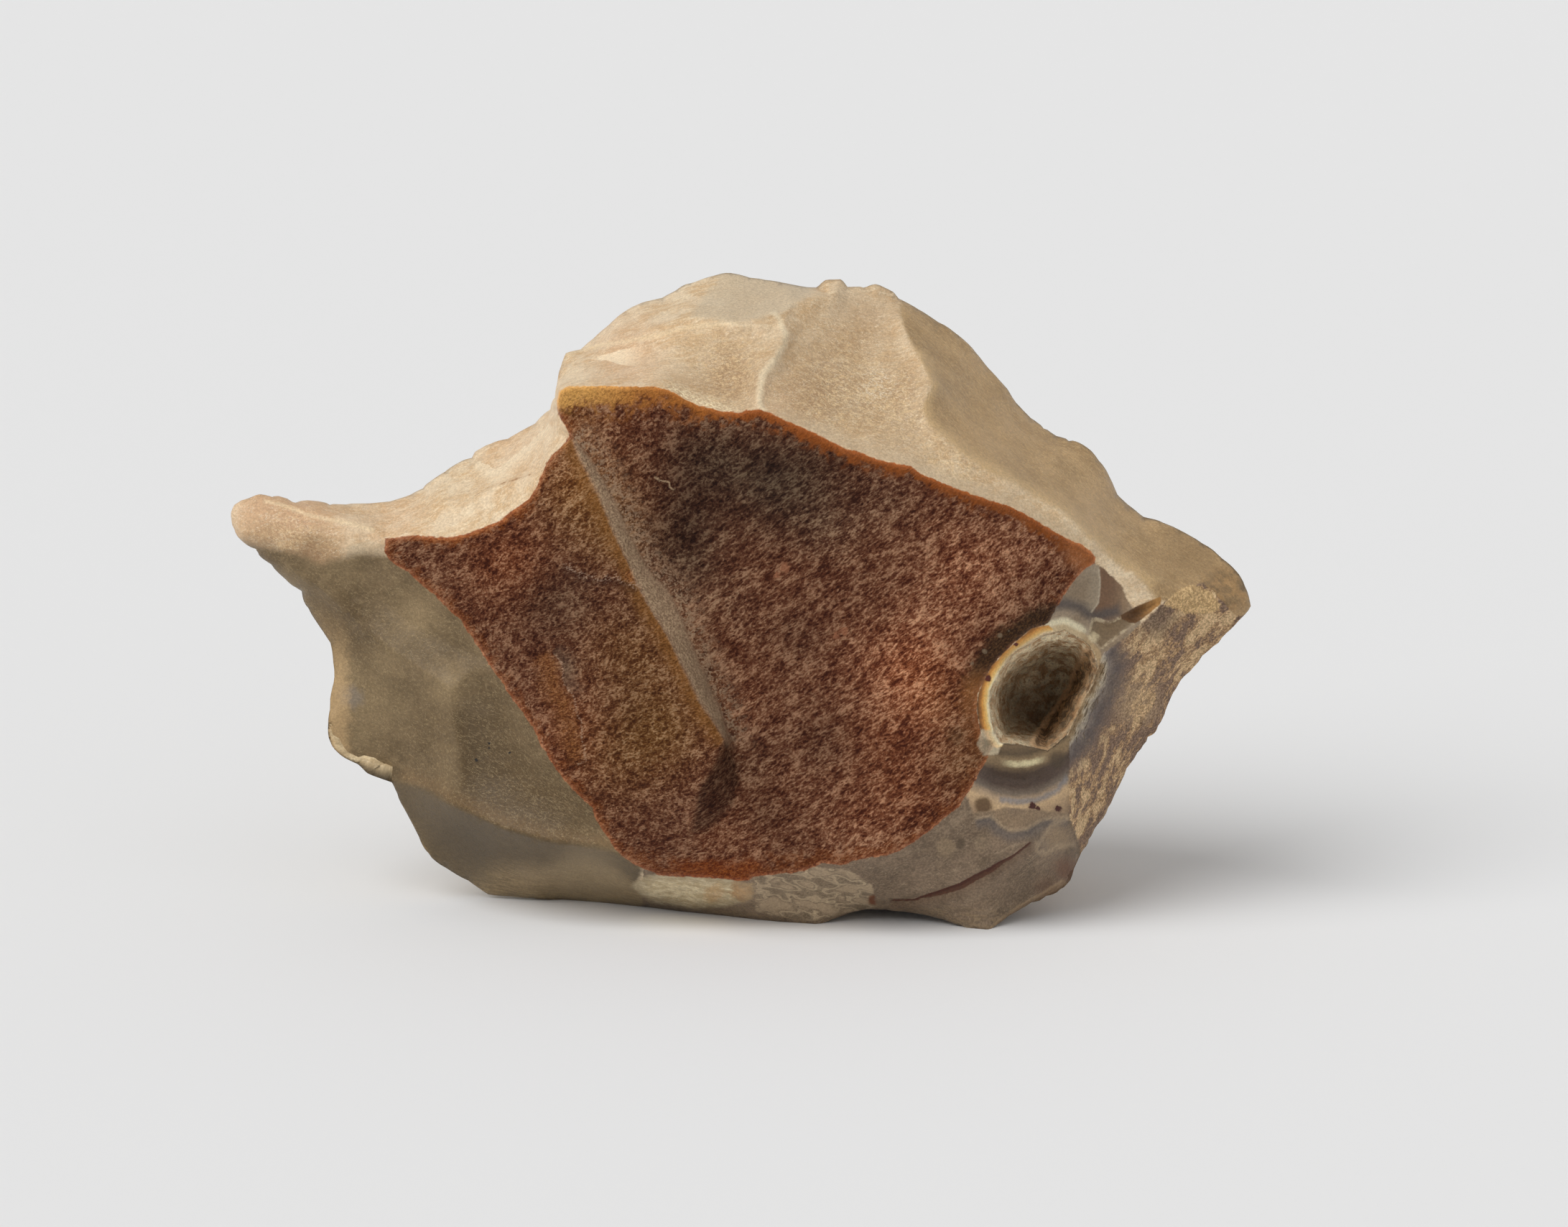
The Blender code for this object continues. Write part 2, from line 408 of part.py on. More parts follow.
def rest_on_base(shape):
    """Wear the stone flat at the floor, and set its origin under the middle of its box."""
    whole = shape.verts[:] + shape.edges[:] + shape.faces[:]
    cut = bmesh.ops.bisect_plane(shape, geom=whole, dist=1e-6, plane_co=(0, 0, 0), plane_no=(0, 0, -1),
                                 clear_outer=True)["geom_cut"]
    rim = [item for item in cut if isinstance(item, bmesh.types.BMVert)]
    bmesh.ops.remove_doubles(shape, verts=rim, dist=5e-5)
    open_edges = [edge for edge in shape.edges if edge.is_boundary]
    bmesh.ops.holes_fill(shape, edges=open_edges, sides=0)
    corners = np.array([vert.co for vert in shape.verts])
    middle = (corners.min(axis=0) + corners.max(axis=0)) / 2
    bmesh.ops.translate(shape, verts=shape.verts, vec=(-middle[0], -middle[1], 0))


def make_stone(collection):
    border = outline()
    front_lines = closed_depths(FRONT_RIDGES, border) + hole_lines()
    front_lines = [split_long(line, FRONT_CELL) for line in front_lines]
    back_lines = closed_depths(BACK_RIDGES, border) + [on_floor(BASE_BACK)]
    back_lines = [split_long(line, BACK_CELL) for line in back_lines]
    shape = bmesh.new()
    add_skin(shape, *skin(border, front_lines, FRONT_FACETS, FRONT_CELL), away=False)
    add_skin(shape, *skin(border, back_lines, BACK_FACETS, BACK_CELL), away=True)
    bmesh.ops.remove_doubles(shape, verts=shape.verts, dist=1e-6)
    rest_on_base(shape)
    bmesh.ops.recalc_face_normals(shape, faces=shape.faces)
    mesh = bpy.data.meshes.new("flint_nodule")
    shape.to_mesh(mesh)
    shape.free()
    stone = bpy.data.objects.new("flint_nodule", mesh)
    collection.objects.link(stone)
    return stone


def stone_material():
    material = bpy.data.materials.new("flint")
    material.use_nodes = True
    surface = material.node_tree.nodes["Principled BSDF"]
    surface.inputs["Base Color"].default_value = STONE_COLOUR
    surface.inputs["Roughness"].default_value = STONE_ROUGHNESS
    return material


def main():
    for thing in list(bpy.data.objects):
        bpy.data.objects.remove(thing, do_unlink=True)
    collection = bpy.data.collections.new("flint_nodule")
    bpy.context.scene.collection.children.link(collection)
    stone = make_stone(collection)
    stone.data.materials.append(stone_material())


main()
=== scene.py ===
"""The looks of a struck flint nodule: fine surface, patina, flake scars, cortex and burrow hole.

The stone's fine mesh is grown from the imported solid. Places on it are given as they are drawn: in
millimetres, u to the right and v up as seen from the camera, w away from it.
"""

import math

import bmesh
import bpy
import numpy as np
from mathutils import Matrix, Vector, noise


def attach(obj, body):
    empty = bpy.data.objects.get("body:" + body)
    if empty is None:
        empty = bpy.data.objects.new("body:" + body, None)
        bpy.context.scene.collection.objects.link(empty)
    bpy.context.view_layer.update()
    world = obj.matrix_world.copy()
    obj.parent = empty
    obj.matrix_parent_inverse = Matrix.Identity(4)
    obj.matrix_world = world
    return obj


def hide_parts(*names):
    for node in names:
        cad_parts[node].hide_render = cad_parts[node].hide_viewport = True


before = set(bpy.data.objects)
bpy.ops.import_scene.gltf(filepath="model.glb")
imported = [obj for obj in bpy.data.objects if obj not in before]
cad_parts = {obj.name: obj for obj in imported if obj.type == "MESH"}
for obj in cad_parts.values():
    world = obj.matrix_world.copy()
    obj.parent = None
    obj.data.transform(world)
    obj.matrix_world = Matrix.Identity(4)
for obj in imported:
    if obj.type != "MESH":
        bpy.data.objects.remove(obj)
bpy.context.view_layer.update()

# The view that the drawn places belong to
VIEW_RISE = math.radians(12.0)
VIEW_DISTANCE = 1.2
AIM = Vector((0.0062, -0.002084, 0.039769))
AIM_DRAWN = (6.2, 43.4)
SEEN_WIDTH = 0.2141          # width of what the camera frames, at the stone
SENSOR = 36.0
RIGHT = Vector((1.0, 0.0, 0.0))
UP = Vector((0.0, math.sin(VIEW_RISE), math.cos(VIEW_RISE)))
AWAY = Vector((0.0, math.cos(VIEW_RISE), -math.sin(VIEW_RISE)))

# ---------------------------------------------------------------- outlines of the front

FIELD_TOP = [
    (-24.8, 72.5), (-24.5, 73.8), (-23.2, 74.4), (-20.2, 74.5), (-16.3, 74.4), (-12, 74.5), (-9.5, 73.9),
    (-8.1, 73.2), (-5.5, 71.8), (-4.1, 71.5), (-2.4, 71), (0.1, 70.8), (1, 71.2), (2.9, 71.3), (4.3, 70.8),
    (5.7, 70.1), (8, 69.1), (10.1, 68.1), (12.5, 66.9), (14.4, 65.9), (16.7, 65.3), (18.7, 64.5),
    (21.8, 63.8), (23.5, 63.5), (24.9, 62.5), (28.3, 61), (30.2, 60.3), (33.9, 59), (36.7, 58.2),
    (38.4, 57.4), (41.5, 55.5), (43.5, 54.3), (45.2, 53.4), (47.2, 52.6), (48.6, 51.2)]
FIELD_RIGHT = [
    (48.6, 50.3), (47.2, 49.5), (46.2, 48.3), (45.1, 46.9), (44, 45.2), (42.9, 43.2), (42.2, 41.9),
    (40, 41.3), (38.1, 39.7), (36.2, 38), (34.6, 36.2), (33.5, 34.3), (32.7, 32.4), (32.5, 30.2),
    (32.9, 28.1), (33.3, 26.7)]
FIELD_BOTTOM = [
    (35.4, 25.9), (34.3, 24.3), (33.4, 22.7), (32.4, 20.8), (31.3, 18.9), (30.1, 17.1), (28.6, 15.9),
    (27.2, 14.7), (25.4, 13.4), (23.7, 12.1), (22, 11.1), (20.1, 10.4), (16.7, 9.9), (14, 9), (11.7, 9.4),
    (9.5, 8.5), (7.4, 8), (4.6, 7.8), (2.3, 7.5), (1.2, 6.8), (-1.8, 7), (-4.6, 7.3)]
PLATE_BOTTOM = [(-4.6, 7.3), (-8.3, 7.5), (-10.8, 7.7), (-12.9, 8.6), (-14.5, 9.4), (-16.3, 10.6)]
PLATE_LEFT = [
    (-17.5, 12.2), (-18.2, 13.4), (-19.5, 15.2), (-19.9, 16.8), (-21.5, 18.3), (-23.1, 20), (-24.8, 22),
    (-26, 24), (-27.1, 25.7), (-28, 27.7), (-30.2, 30.8), (-31.4, 32.5), (-32.3, 34), (-33.8, 36),
    (-34.6, 37.5), (-35.8, 39.2), (-37.1, 40.9), (-38, 42.6), (-40, 44.3), (-41.2, 45.7), (-42.8, 46.9),
    (-44.6, 48.6), (-46.2, 49.7), (-48.2, 51.1)]
PLATE_TOP = [
    (-48.4, 52), (-48.2, 53.7), (-45.8, 53.9), (-44.3, 54.1), (-42.5, 53.9), (-39.4, 53.8), (-38.2, 54),
    (-36.6, 54.5), (-34.8, 55.2), (-32.3, 56.3), (-31.1, 57.4), (-29.9, 58), (-28.7, 59.1), (-27.8, 60.3),
    (-27, 62.2), (-26.3, 63.8), (-25.3, 65.3), (-23.9, 66.4)]
SCARP_TOP = [
    (-22.8, 67.4), (-22, 65.2), (-20.8, 62.7), (-19.6, 60.3), (-18.5, 57.9), (-17.4, 55.3), (-16.3, 52.8),
    (-15, 50.3), (-14.1, 47.7), (-12.9, 45.7), (-11.7, 43.5), (-9.8, 40.5), (-8.3, 37.4), (-6.8, 34.3),
    (-4.9, 30.6), (-3.4, 28.5), (-2, 26.3), (-2.3, 24.5), (-3.4, 22.9), (-4.9, 20.5), (-5.5, 19.2),
    (-6, 16.8), (-6.8, 14.9), (-6.6, 13.3), (-4.8, 12.9), (-4.5, 9.7)]
SCARP_FOOT = [
    (-22.4, 67.5), (-20.2, 64.6), (-18.5, 61.8), (-16.8, 58.7), (-15.1, 55), (-13.7, 52.2), (-12, 49.1),
    (-9.8, 46.9), (-8.4, 44.6), (-6.5, 39.8), (-5.2, 36.8), (-3.7, 33.1), (-2.2, 30), (-1.7, 27.5),
    (-1, 26), (-0.6, 23.5), (-0.2, 20.5), (-1.2, 16.8), (-2.5, 14.9), (-4.7, 13)]
HOLE_RIM = [
    (41.6, 40.5), (40, 39.4), (38.1, 38.3), (36.7, 37), (35.4, 35.1), (34.4, 32.9), (34.2, 31),
    (34.4, 28.9), (35, 27), (35.8, 25.8), (38.1, 25.5), (40.2, 25.1), (42.3, 24.7), (43.5, 25.7),
    (45.1, 27.3), (46.2, 29.4), (47.2, 31.8), (48.3, 33.7), (49.1, 36.2), (48.4, 38.2), (47, 39.8),
    (44.4, 41.1)]
CORTEX_EDGE = [
    (69, 43.2), (67.7, 43.2), (66.9, 44.2), (65.3, 46.1), (63.4, 47.5), (61.8, 47.3), (59.9, 46.4),
    (57.7, 44.5), (55.3, 42.3), (53.2, 40.5), (51.3, 39), (49.9, 38), (49.1, 36.2), (48.3, 33.7),
    (47.2, 31.8), (46.2, 29.4), (45.1, 27.3), (45.3, 23.8), (45.1, 21.1), (45.2, 18.4), (45.1, 15.7),
    (45.9, 13.8), (46.6, 11.6)]
FOLD = [
    (-13, 8.8), (-16.3, 10.8), (-19.1, 11.5), (-26, 12.3), (-32.7, 14.3), (-35.1, 15.4), (-39.3, 17.2),
    (-41.7, 18.9)]
ZONES = {
    "skin": (FIELD_TOP + FIELD_RIGHT + FIELD_BOTTOM + PLATE_BOTTOM[1:] + PLATE_LEFT + PLATE_TOP
        + [(-23.2, 68), (-24, 69.4), (-24.7, 71.1)]),
    "plate": PLATE_BOTTOM + PLATE_LEFT + PLATE_TOP + SCARP_TOP,
    "scarp": SCARP_TOP[:-1] + SCARP_FOOT[::-1],
    "hole": HOLE_RIM,
    "collar": FIELD_RIGHT[6:] + [(33.8, 25.4), (35.8, 25), (36.6, 26.6), (42, 34), (44, 40)],
    "cortex": CORTEX_EDGE + [(47, 4), (70, 22), (78, 42)],
    "chalk": [(-14.8, 6.4), (-12.6, 7.6), (-10.8, 8), (-1.8, 7.4), (2.3, 6.4), (1.9, 4.4), (-1.8, 3.3),
        (-6.5, 3.2), (-12.3, 4.2)],
    "chips": [(2.2, 7.6), (10.2, 8.8), (15.1, 8.4), (18.2, 6.3), (18.9, 3.4), (10, 1.5), (2.4, 2.6)],
    "shade": [(-13.2, 8.8), (-12, 22), (-30, 44), (-46, 52.6), (-48.3, 51.4), (-52, 51.6), (-54.8, 50.8),
        (-57, 50.2), (-60, 51.6), (-64, 52.4), (-68, 53.2), (-74, 54), (-70, 20), (-40, -12), (-12, -12),
        (-12, 3.4), (-14.6, 6.2)],
    "hollow": FOLD + [(-44.3, 19.8), (-52, 21.5), (-50, -12), (-12, -12), (-12.2, 3.6), (-14, 6.2)],
    "grey": [(-13.2, 4), (-12.9, 8.6), (-8.3, 12), (20, 16), (29, 26), (38, 27), (50, 26), (52, 14),
        (54, 8), (50, -12), (-12, -12)],
    "under": [(35.8, 25.8), (31, 27), (28, 22), (31.3, 18), (32, 16.2), (36.5, 16.9), (44.9, 16.2),
        (48, 17), (48, 27.4), (43.5, 26.4), (42.3, 25.4), (38.1, 26.2)],
    "pane": [(48.6, 50.3), (49.6, 49.8), (52, 47.6), (53.6, 44.6), (55, 42.2), (53.2, 38), (49.9, 37),
        (49.1, 36.2), (48.4, 38.2), (47, 39.8), (44.4, 41.1), (41.6, 40.5), (39, 42), (42, 47), (45, 50.4)],
    "slope": [(22, 95), (22.1, 84.1), (23.3, 80.9), (24.7, 78.5), (26.6, 74.7), (25.2, 71.7), (26, 69.4),
        (28, 67.7), (30.8, 65.2), (33.9, 62.9), (37.3, 61.3), (40.7, 59.3), (44.6, 57), (48.7, 53.1),
        (51.5, 50.2), (54.2, 48.8), (56.9, 45.5), (59.9, 44.4), (63.4, 45.5), (66.9, 42.4), (76, 42),
        (60, 70)],
    "pocket": [(51.8, 43), (54.2, 44.3), (57.6, 45.7), (57.9, 44.9), (55.2, 42.7), (54, 42)],
    "knob": [(58.2, 44.6), (59.6, 46.6), (61.8, 47.5), (64.2, 46.6), (66, 44.6), (64.6, 43.4), (61, 43.4)],
    "lens": [(33.2, 27.6), (32.5, 25.6), (33.4, 23.9), (35.4, 24.3), (36.2, 26), (34.8, 27.4)],
    "dish": [(-20.8, 78.2), (-17.9, 77.9), (-16, 77.3), (-13.7, 77.1), (-11.5, 77.5), (-10, 78.2),
        (-9.9, 79.3), (-11.5, 80), (-14.6, 79.7), (-17.9, 78.9)],
    "rear": [(-6.6, 83.9), (-0.3, 83), (2.6, 83.6), (5.7, 84.6), (10, 87), (14, 96), (-8, 96), (-2.7, 89),
        (-5.5, 85.6)],
    "glaze": [(-53.6, 50.9), (-53.4, 52.6), (-51, 53.4), (-48.6, 52.9), (-46, 52), (-48.2, 50.8)],
    "facet": [(48.4, 42.8), (50.6, 42.2), (52.8, 43.2), (54, 42.2), (51.6, 40.2), (49.5, 38.6), (48, 40.6)],
    # the wall under the plate's corner, where the skin is darkened by painted shadow
    "wall": [(-1.8, 26.4), (-0.2, 23), (0.2, 20.5), (-0.6, 17.5), (-2.2, 15.4), (-4.4, 13.6), (-6.8, 13),
        (-6.2, 15.5), (-5.7, 19), (-3.6, 22.6)],
    "rind": [(-8, 62), (5, 60.5), (12, 55), (24, 54.5), (31, 49), (43, 45), (57, 42), (80, 44.4), (66, 20),
        (50, -6), (22, -6), (22, 7), (-12, 7.3), (-9, 15), (-7.5, 24), (-3.5, 33), (-4, 43), (-9, 52)],
}

# Open lines: ridges, steps, cracks and edges
LINES = {
    "top": FIELD_TOP,
    "brink": SCARP_TOP[:17],
    "foot": SCARP_FOOT,
    "crack": [(21.1, 4), (23.7, 4.1), (25.7, 4.7), (27.6, 5.2), (30.1, 6), (32, 7), (34.2, 8.2),
        (35.9, 9.3), (37.4, 10), (39.8, 12)],
    "rib": [(5, 84.3), (6.5, 81.7), (6.3, 79.9), (4.8, 77.7), (3.4, 76), (3, 74.2), (2.9, 72.4),
        (3.3, 71.5)],
    "ledge": [(47.2, 38.3), (45.9, 35.1), (44.7, 32.1), (42.7, 29.4), (40.8, 27), (40.1, 25.7)],
    "scar": [(-25.2, 38), (-24.2, 36.5), (-24, 33.7), (-22.8, 32.5), (-22, 30), (-21.4, 26.9),
        (-20.9, 23.2), (-22, 22.8)],
    "step": [(-23.6, 50), (-21.3, 48.4), (-18.5, 48), (-16.3, 48.1), (-14.1, 47.1)],
    "band_step": [(-36, 59.6), (-33.9, 60.8), (-31.8, 61.5), (-28.4, 62.4), (-27, 62.9)],
    "band_flake": [(-35.4, 64.2), (-33, 63.2), (-31.6, 64.6), (-29, 66.4), (-26.4, 69.2)],
    "horn_crest": [(-64.6, 58.8), (-62, 58.2), (-59.2, 57), (-56, 56.2), (-53, 55.6), (-50, 54.8)],
    "fold": FOLD + [(-46, 20.4)],
    "bulge": [(-37.8, 31.6), (-38.4, 29), (-37.6, 25), (-37.4, 20)],
    "flake_ridge": [(-23.7, 78.8), (-18, 80.2), (-12, 81.1), (-6, 82.6), (-0.3, 83.1)],
    "smoke": [(42.6, 44.4), (44.6, 44.8), (46.5, 44.3), (47.8, 43.3), (49.6, 43.2), (51.4, 43.7)],
    "pane_edge": [(49.2, 49.4), (49.4, 47), (49.2, 44.9), (48.2, 43.6)],
    "bluish": [(36, 18), (38.2, 17.7), (40.6, 17.9), (43.2, 19), (44.8, 20.8)],
    "swirl": [(32.6, 15.6), (34.6, 15.9), (35.7, 14.5), (37.2, 13.7), (39.2, 14.1), (41.6, 15.4),
        (44.6, 15.6)],
    "loop": [(44.8, 15.4), (42.6, 14.4), (41.3, 12.6), (40.4, 11.2), (41.8, 10.6), (43.4, 11.6),
        (45.6, 11.9)],
    "scratches": [(-11.4, 62), (-9.9, 61.4), (-8.9, 60.3)],
    "bevel": [(34, 0), (35.2, 1.3), (38.4, 3.5), (42, 5.4), (44.2, 6.9)],
    "crest": [(20.1, 79.2), (24.7, 78.5), (26.6, 74.7), (25.2, 71.7), (26, 69.4), (30.8, 65.2),
        (37.3, 61.3), (44.6, 57), (50, 52), (56, 47.8)],
}


# ---------------------------------------------------------------- places and distances

def drawn_places(points):
    """Where points, in metres, are seen: u, v and w in millimetres."""
    away = points - np.array(AIM)
    depth = away @ np.array(AWAY)
    spread = 1 + depth / VIEW_DISTANCE
    across = (away @ np.array(RIGHT)) / spread * 1000 + AIM_DRAWN[0]
    rise = (away @ np.array(UP)) / spread * 1000 + AIM_DRAWN[1]
    return np.column_stack([across, rise, depth * 1000])


def inside_by(places, outline):
    """Millimetres by which each drawn place lies inside a closed outline; negative outside."""
    spot = places[:, :2]
    nearest = np.full(len(spot), np.inf)
    inside = np.zeros(len(spot), bool)
    for start, end in zip(np.array(outline), np.roll(np.array(outline), -1, axis=0)):
        span = end - start
        along = np.clip((spot - start) @ span / max(span @ span, 1e-9), 0, 1)
        nearest = np.minimum(nearest, np.hypot(*(spot - start - along[:, None] * span).T))
        spans = (start[1] > spot[:, 1]) != (end[1] > spot[:, 1])
        reach = start[0] + (spot[:, 1] - start[1]) * span[0] / (span[1] or 1e-9)
        inside ^= spans & (spot[:, 0] < reach)
    return np.where(inside, nearest, -nearest)


def beside(places, line):
    """Two distances from an open line: across it, positive on the left of its run, and past its ends."""
    spot = places[:, :2]
    nearest = np.full(len(spot), np.inf)
    across = np.zeros(len(spot))
    past = np.zeros(len(spot))
    last = len(line) - 2
    for k, (start, end) in enumerate(zip(np.array(line[:-1]), np.array(line[1:]))):
        span = end - start
        length = math.hypot(*span)
        run = (spot - start) @ span / length
        beyond = np.maximum(-run if k == 0 else 0, run - length if k == last else 0)
        off = spot - start - (np.clip(run, 0, length) / length)[:, None] * span
        reach = np.hypot(*off.T)
        square = (span[0] * (spot - start)[:, 1] - span[1] * (spot - start)[:, 0]) / length
        side = np.where(beyond > 0, square, reach * np.sign(square))
        closer = reach < nearest
        across[closer] = side[closer]
        past[closer] = np.broadcast_to(beyond, past.shape)[closer]
        nearest = np.minimum(nearest, reach)
    return np.column_stack([across, past, np.zeros(len(spot))])


def ramp(values, low, high):
    """Smooth step from 0 at low to 1 at high."""
    t = np.clip((values - low) / (high - low), 0, 1)
    return t * t * (3 - 2 * t)


def grain(places, size, seed=0.0, octaves=3):
    """Fractal noise over the stone, about -1 to 1, with lumps of the given size in millimetres."""
    shifted = places / size + seed
    return np.array([noise.fractal(Vector(place), 0.7, 2.1, octaves) for place in shifted])


# ---------------------------------------------------------------- the fine mesh

CREASE_FROM = math.radians(14)
CREASE_TO = math.radians(34)
HORN_END = -61.0             # the horn is rounded left of here
LEVELS = 2
BACK_SUNK = 0.3              # mm by which the struck side lies below the rind
HOLE_LIP = -0.3              # mm outside the burrow's rim, up to where the stone belongs to the burrow
HOLE_DEEP = 7.0              # w beyond every wall of the burrow hole, and short of the stone's back


def crease_ridges(shape):
    """Keep the ridges crisp while the surface between them is rounded."""
    layer = shape.edges.layers.float.new("crease_edge")
    for edge in shape.edges:
        if len(edge.link_faces) != 2:
            continue
        middle = (edge.verts[0].co + edge.verts[1].co) / 2
        turn = edge.calc_face_angle(0.0)
        crease = 0.92 * float(ramp(np.array(turn), CREASE_FROM, CREASE_TO))
        if middle.x * 1000 < HORN_END:
            crease *= 0.15
        if max(edge.verts[0].co.z, edge.verts[1].co.z) < 1e-5:
            crease = 1.0
        edge[layer] = crease


def fine_mesh(node):
    """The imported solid's surface, welded, creased and subdivided."""
    shape = bmesh.new()
    shape.from_mesh(node.data)
    bmesh.ops.remove_doubles(shape, verts=shape.verts, dist=2e-6)
    crease_ridges(shape)
    mesh = bpy.data.meshes.new("flint_coarse")
    shape.to_mesh(mesh)
    shape.free()
    stone = bpy.data.objects.new("flint_stone", mesh)
    bpy.context.scene.collection.objects.link(stone)
    rounding = stone.modifiers.new("rounding", "SUBSURF")
    rounding.levels = LEVELS
    rounding.render_levels = LEVELS
    graph = bpy.context.evaluated_depsgraph_get()
    fine = bpy.data.meshes.new_from_object(stone.evaluated_get(graph))
    stone.modifiers.clear()
    stone.data = fine
    fine.name = "flint_stone"
    return stone


def rows_of(items, name, width, kind=float):
    """What each of a mesh's items holds by a name, one row for each."""
    rows = np.empty(len(items) * width, kind)
    items.foreach_get(name, rows)
    return rows.reshape(-1, width)


def sharpness(mesh, corners, normals, rounds=2):
    """How convex the surface is at each corner, per millimetre: above 0 on ridges, below 0 in folds."""
    first, second = rows_of(mesh.edges, "vertices", 2, int).T
    run = (corners[first] - corners[second]) * 1000
    bend = ((normals[first] - normals[second]) * run).sum(1) / np.maximum((run ** 2).sum(1), 1e-6)
    count = np.bincount(np.concatenate([first, second]), minlength=len(corners))
    ends = np.concatenate([first, second])
    values = np.bincount(ends, np.concatenate([bend, bend]), len(corners)) / count
    for _ in range(rounds):
        others = np.concatenate([values[second], values[first]])
        values = 0.5 * values + 0.5 * np.bincount(ends, others, len(corners)) / count
    return values


def keep(mesh, name, values):
    """Store one number, or one vector, for each corner of the mesh."""
    kind = "FLOAT_VECTOR" if values.ndim == 2 else "FLOAT"
    layer = mesh.attributes.new(name, kind, "POINT")
    layer.data.foreach_set("vector" if values.ndim == 2 else "value", values.astype(np.float32).ravel())


# ---------------------------------------------------------------- relief, in millimetres outwards

def near(line, width, soft):
    """1 on an open line, 0 further from it than its width."""
    return 1 - ramp(np.maximum(np.abs(line[:, 0]), line[:, 1]), width - soft, width + soft)


def drop(line, height, reach, soft=0.25):
    """A step: the surface left of the line is lower by the height, and comes back up within the reach."""
    lower = ramp(line[:, 0], -soft, soft) * (1 - ramp(line[:, 0], reach * 0.3, reach))
    return -height * lower * (1 - ramp(line[:, 1], 0.0, 1.0))


def waves(places, centre, length, inner, outer, height):
    """Ripples of a struck scar, in rings about the place of the blow, between two radii."""
    away = np.hypot(places[:, 0] - centre[0], places[:, 1] - centre[1])
    fade = ramp(away, inner, inner + 2 * length) * (1 - ramp(away, outer - 3 * length, outer))
    return height * fade * np.sin(2 * math.pi * away / length)


BOWL_DEPTH = 0.36            # of a struck scar, as a share of its reach
RIPPLE_LENGTH = 0.18         # from one ripple to the next, as a share of the scar's reach
SKIM = 2.4                   # mm of a bowl's depth that is left out, so that only its middle is sunk


def struck(places, scars):
    """Shallow bowls with crisp edges and faint ripples: their depth, ripples and tint."""
    cut = np.full(len(places), -99.0)
    ripples = np.zeros(len(places))
    tints = np.full(len(places), 0.5)
    across = places[:, 0] + 2.4 * grain(places, 9.0, 21.0) + 0.5 * grain(places, 2.0, 5.0)
    up = places[:, 1] + 2.4 * grain(places, 9.0, 33.0) + 0.5 * grain(places, 2.0, 14.0)
    for u, v, reach, tint in scars:
        depth = BOWL_DEPTH * reach
        bowl = depth * (1 - ((across - u) ** 2 + (up - v) ** 2) / reach ** 2)
        deeper = bowl > cut
        from_blow = np.hypot(places[:, 0] - u, places[:, 1] - v - 1.1 * reach)
        rings = 0.09 * np.sin(2 * math.pi * from_blow / (RIPPLE_LENGTH * reach))
        rings *= ramp(bowl, 0.5 * depth, depth)
        cut[deeper] = bowl[deeper]
        ripples[deeper] = rings[deeper]
        tints[deeper] = tint
    return np.maximum(cut - SKIM, 0), ripples, tints


def relief_of(places, zones, lines, front):
    """All of the surface detail that is finer than the solid."""
    brown = zones["skin"]
    fine = grain(places, 1.3, 3.0)
    medium = grain(places, 3.2)
    broad = grain(places, 9.0, 7.0)
    on_front = front * (zones["hole"] < HOLE_LIP)
    relief = 0.07 * medium + 0.18 * broad
    relief += 0.07 * ramp(brown, 0.2, 1.2) * fine * on_front
    relief += ramp(zones["cortex"], 0.0, 1.5) * (0.22 * medium + 0.13 * fine) * front
    relief += ramp(zones["knob"], 0.0, 1.0) * (0.25 + 0.15 * fine) * front
    relief += ramp(zones["rind"], 0.0, 2.0) * (0.20 * medium + 0.12 * fine)
    relief += ramp(zones["hole"], 0.2, 1.2) * (0.30 * fine + 0.34 * grain(places, 2.0, 11.0)) * front
    relief += ramp(zones["chalk"], 0.0, 0.6) * 0.10 * fine * front
    relief -= 0.35 * near(lines["crack"], 0.35, 0.3) * on_front
    relief += 0.16 * near(lines["rib"], 0.5, 0.5) * on_front
    relief += 0.30 * near(lines["ledge"], 0.5, 0.5) * front * ramp(zones["hole"], 0.1, 0.8)
    for name, fall, reach in (
            ("rib", 0.25, 5), ("scar", 0.20, 4), ("step", 0.22, 4), ("band_step", 0.25, 3)):
        relief += drop(lines[name], fall, reach) * on_front
    for name, fall, low, high in (
            ("pocket", 0.9, 0, 0.9), ("dish", 0.16, -0.1, 0.6), ("lens", 0.12, 0, 0.6)):
        relief -= fall * ramp(zones[name], low, high) * on_front
    relief += 0.10 * ramp(zones["chips"], 0.0, 0.8) * medium * front
    relief -= 0.35 * ramp(zones["facet"], -0.1, 0.4) * on_front
    relief += waves(places, (31.0, 83.0), 1.15, 8.0, 17.0, 0.05) * on_front * ramp(-brown, 0.3, 1.0)
    relief += waves(places, (-2.0, 92.0), 2.6, 9.0, 24.0, 0.04) * on_front * ramp(-brown, 0.3, 1.0)
    shade = ramp(zones["shade"], 0.5, 2.0)
    relief += waves(places, (-30.0, 62.0), 3.2, 16.0, 46.0, 0.05) * on_front * shade
    return relief


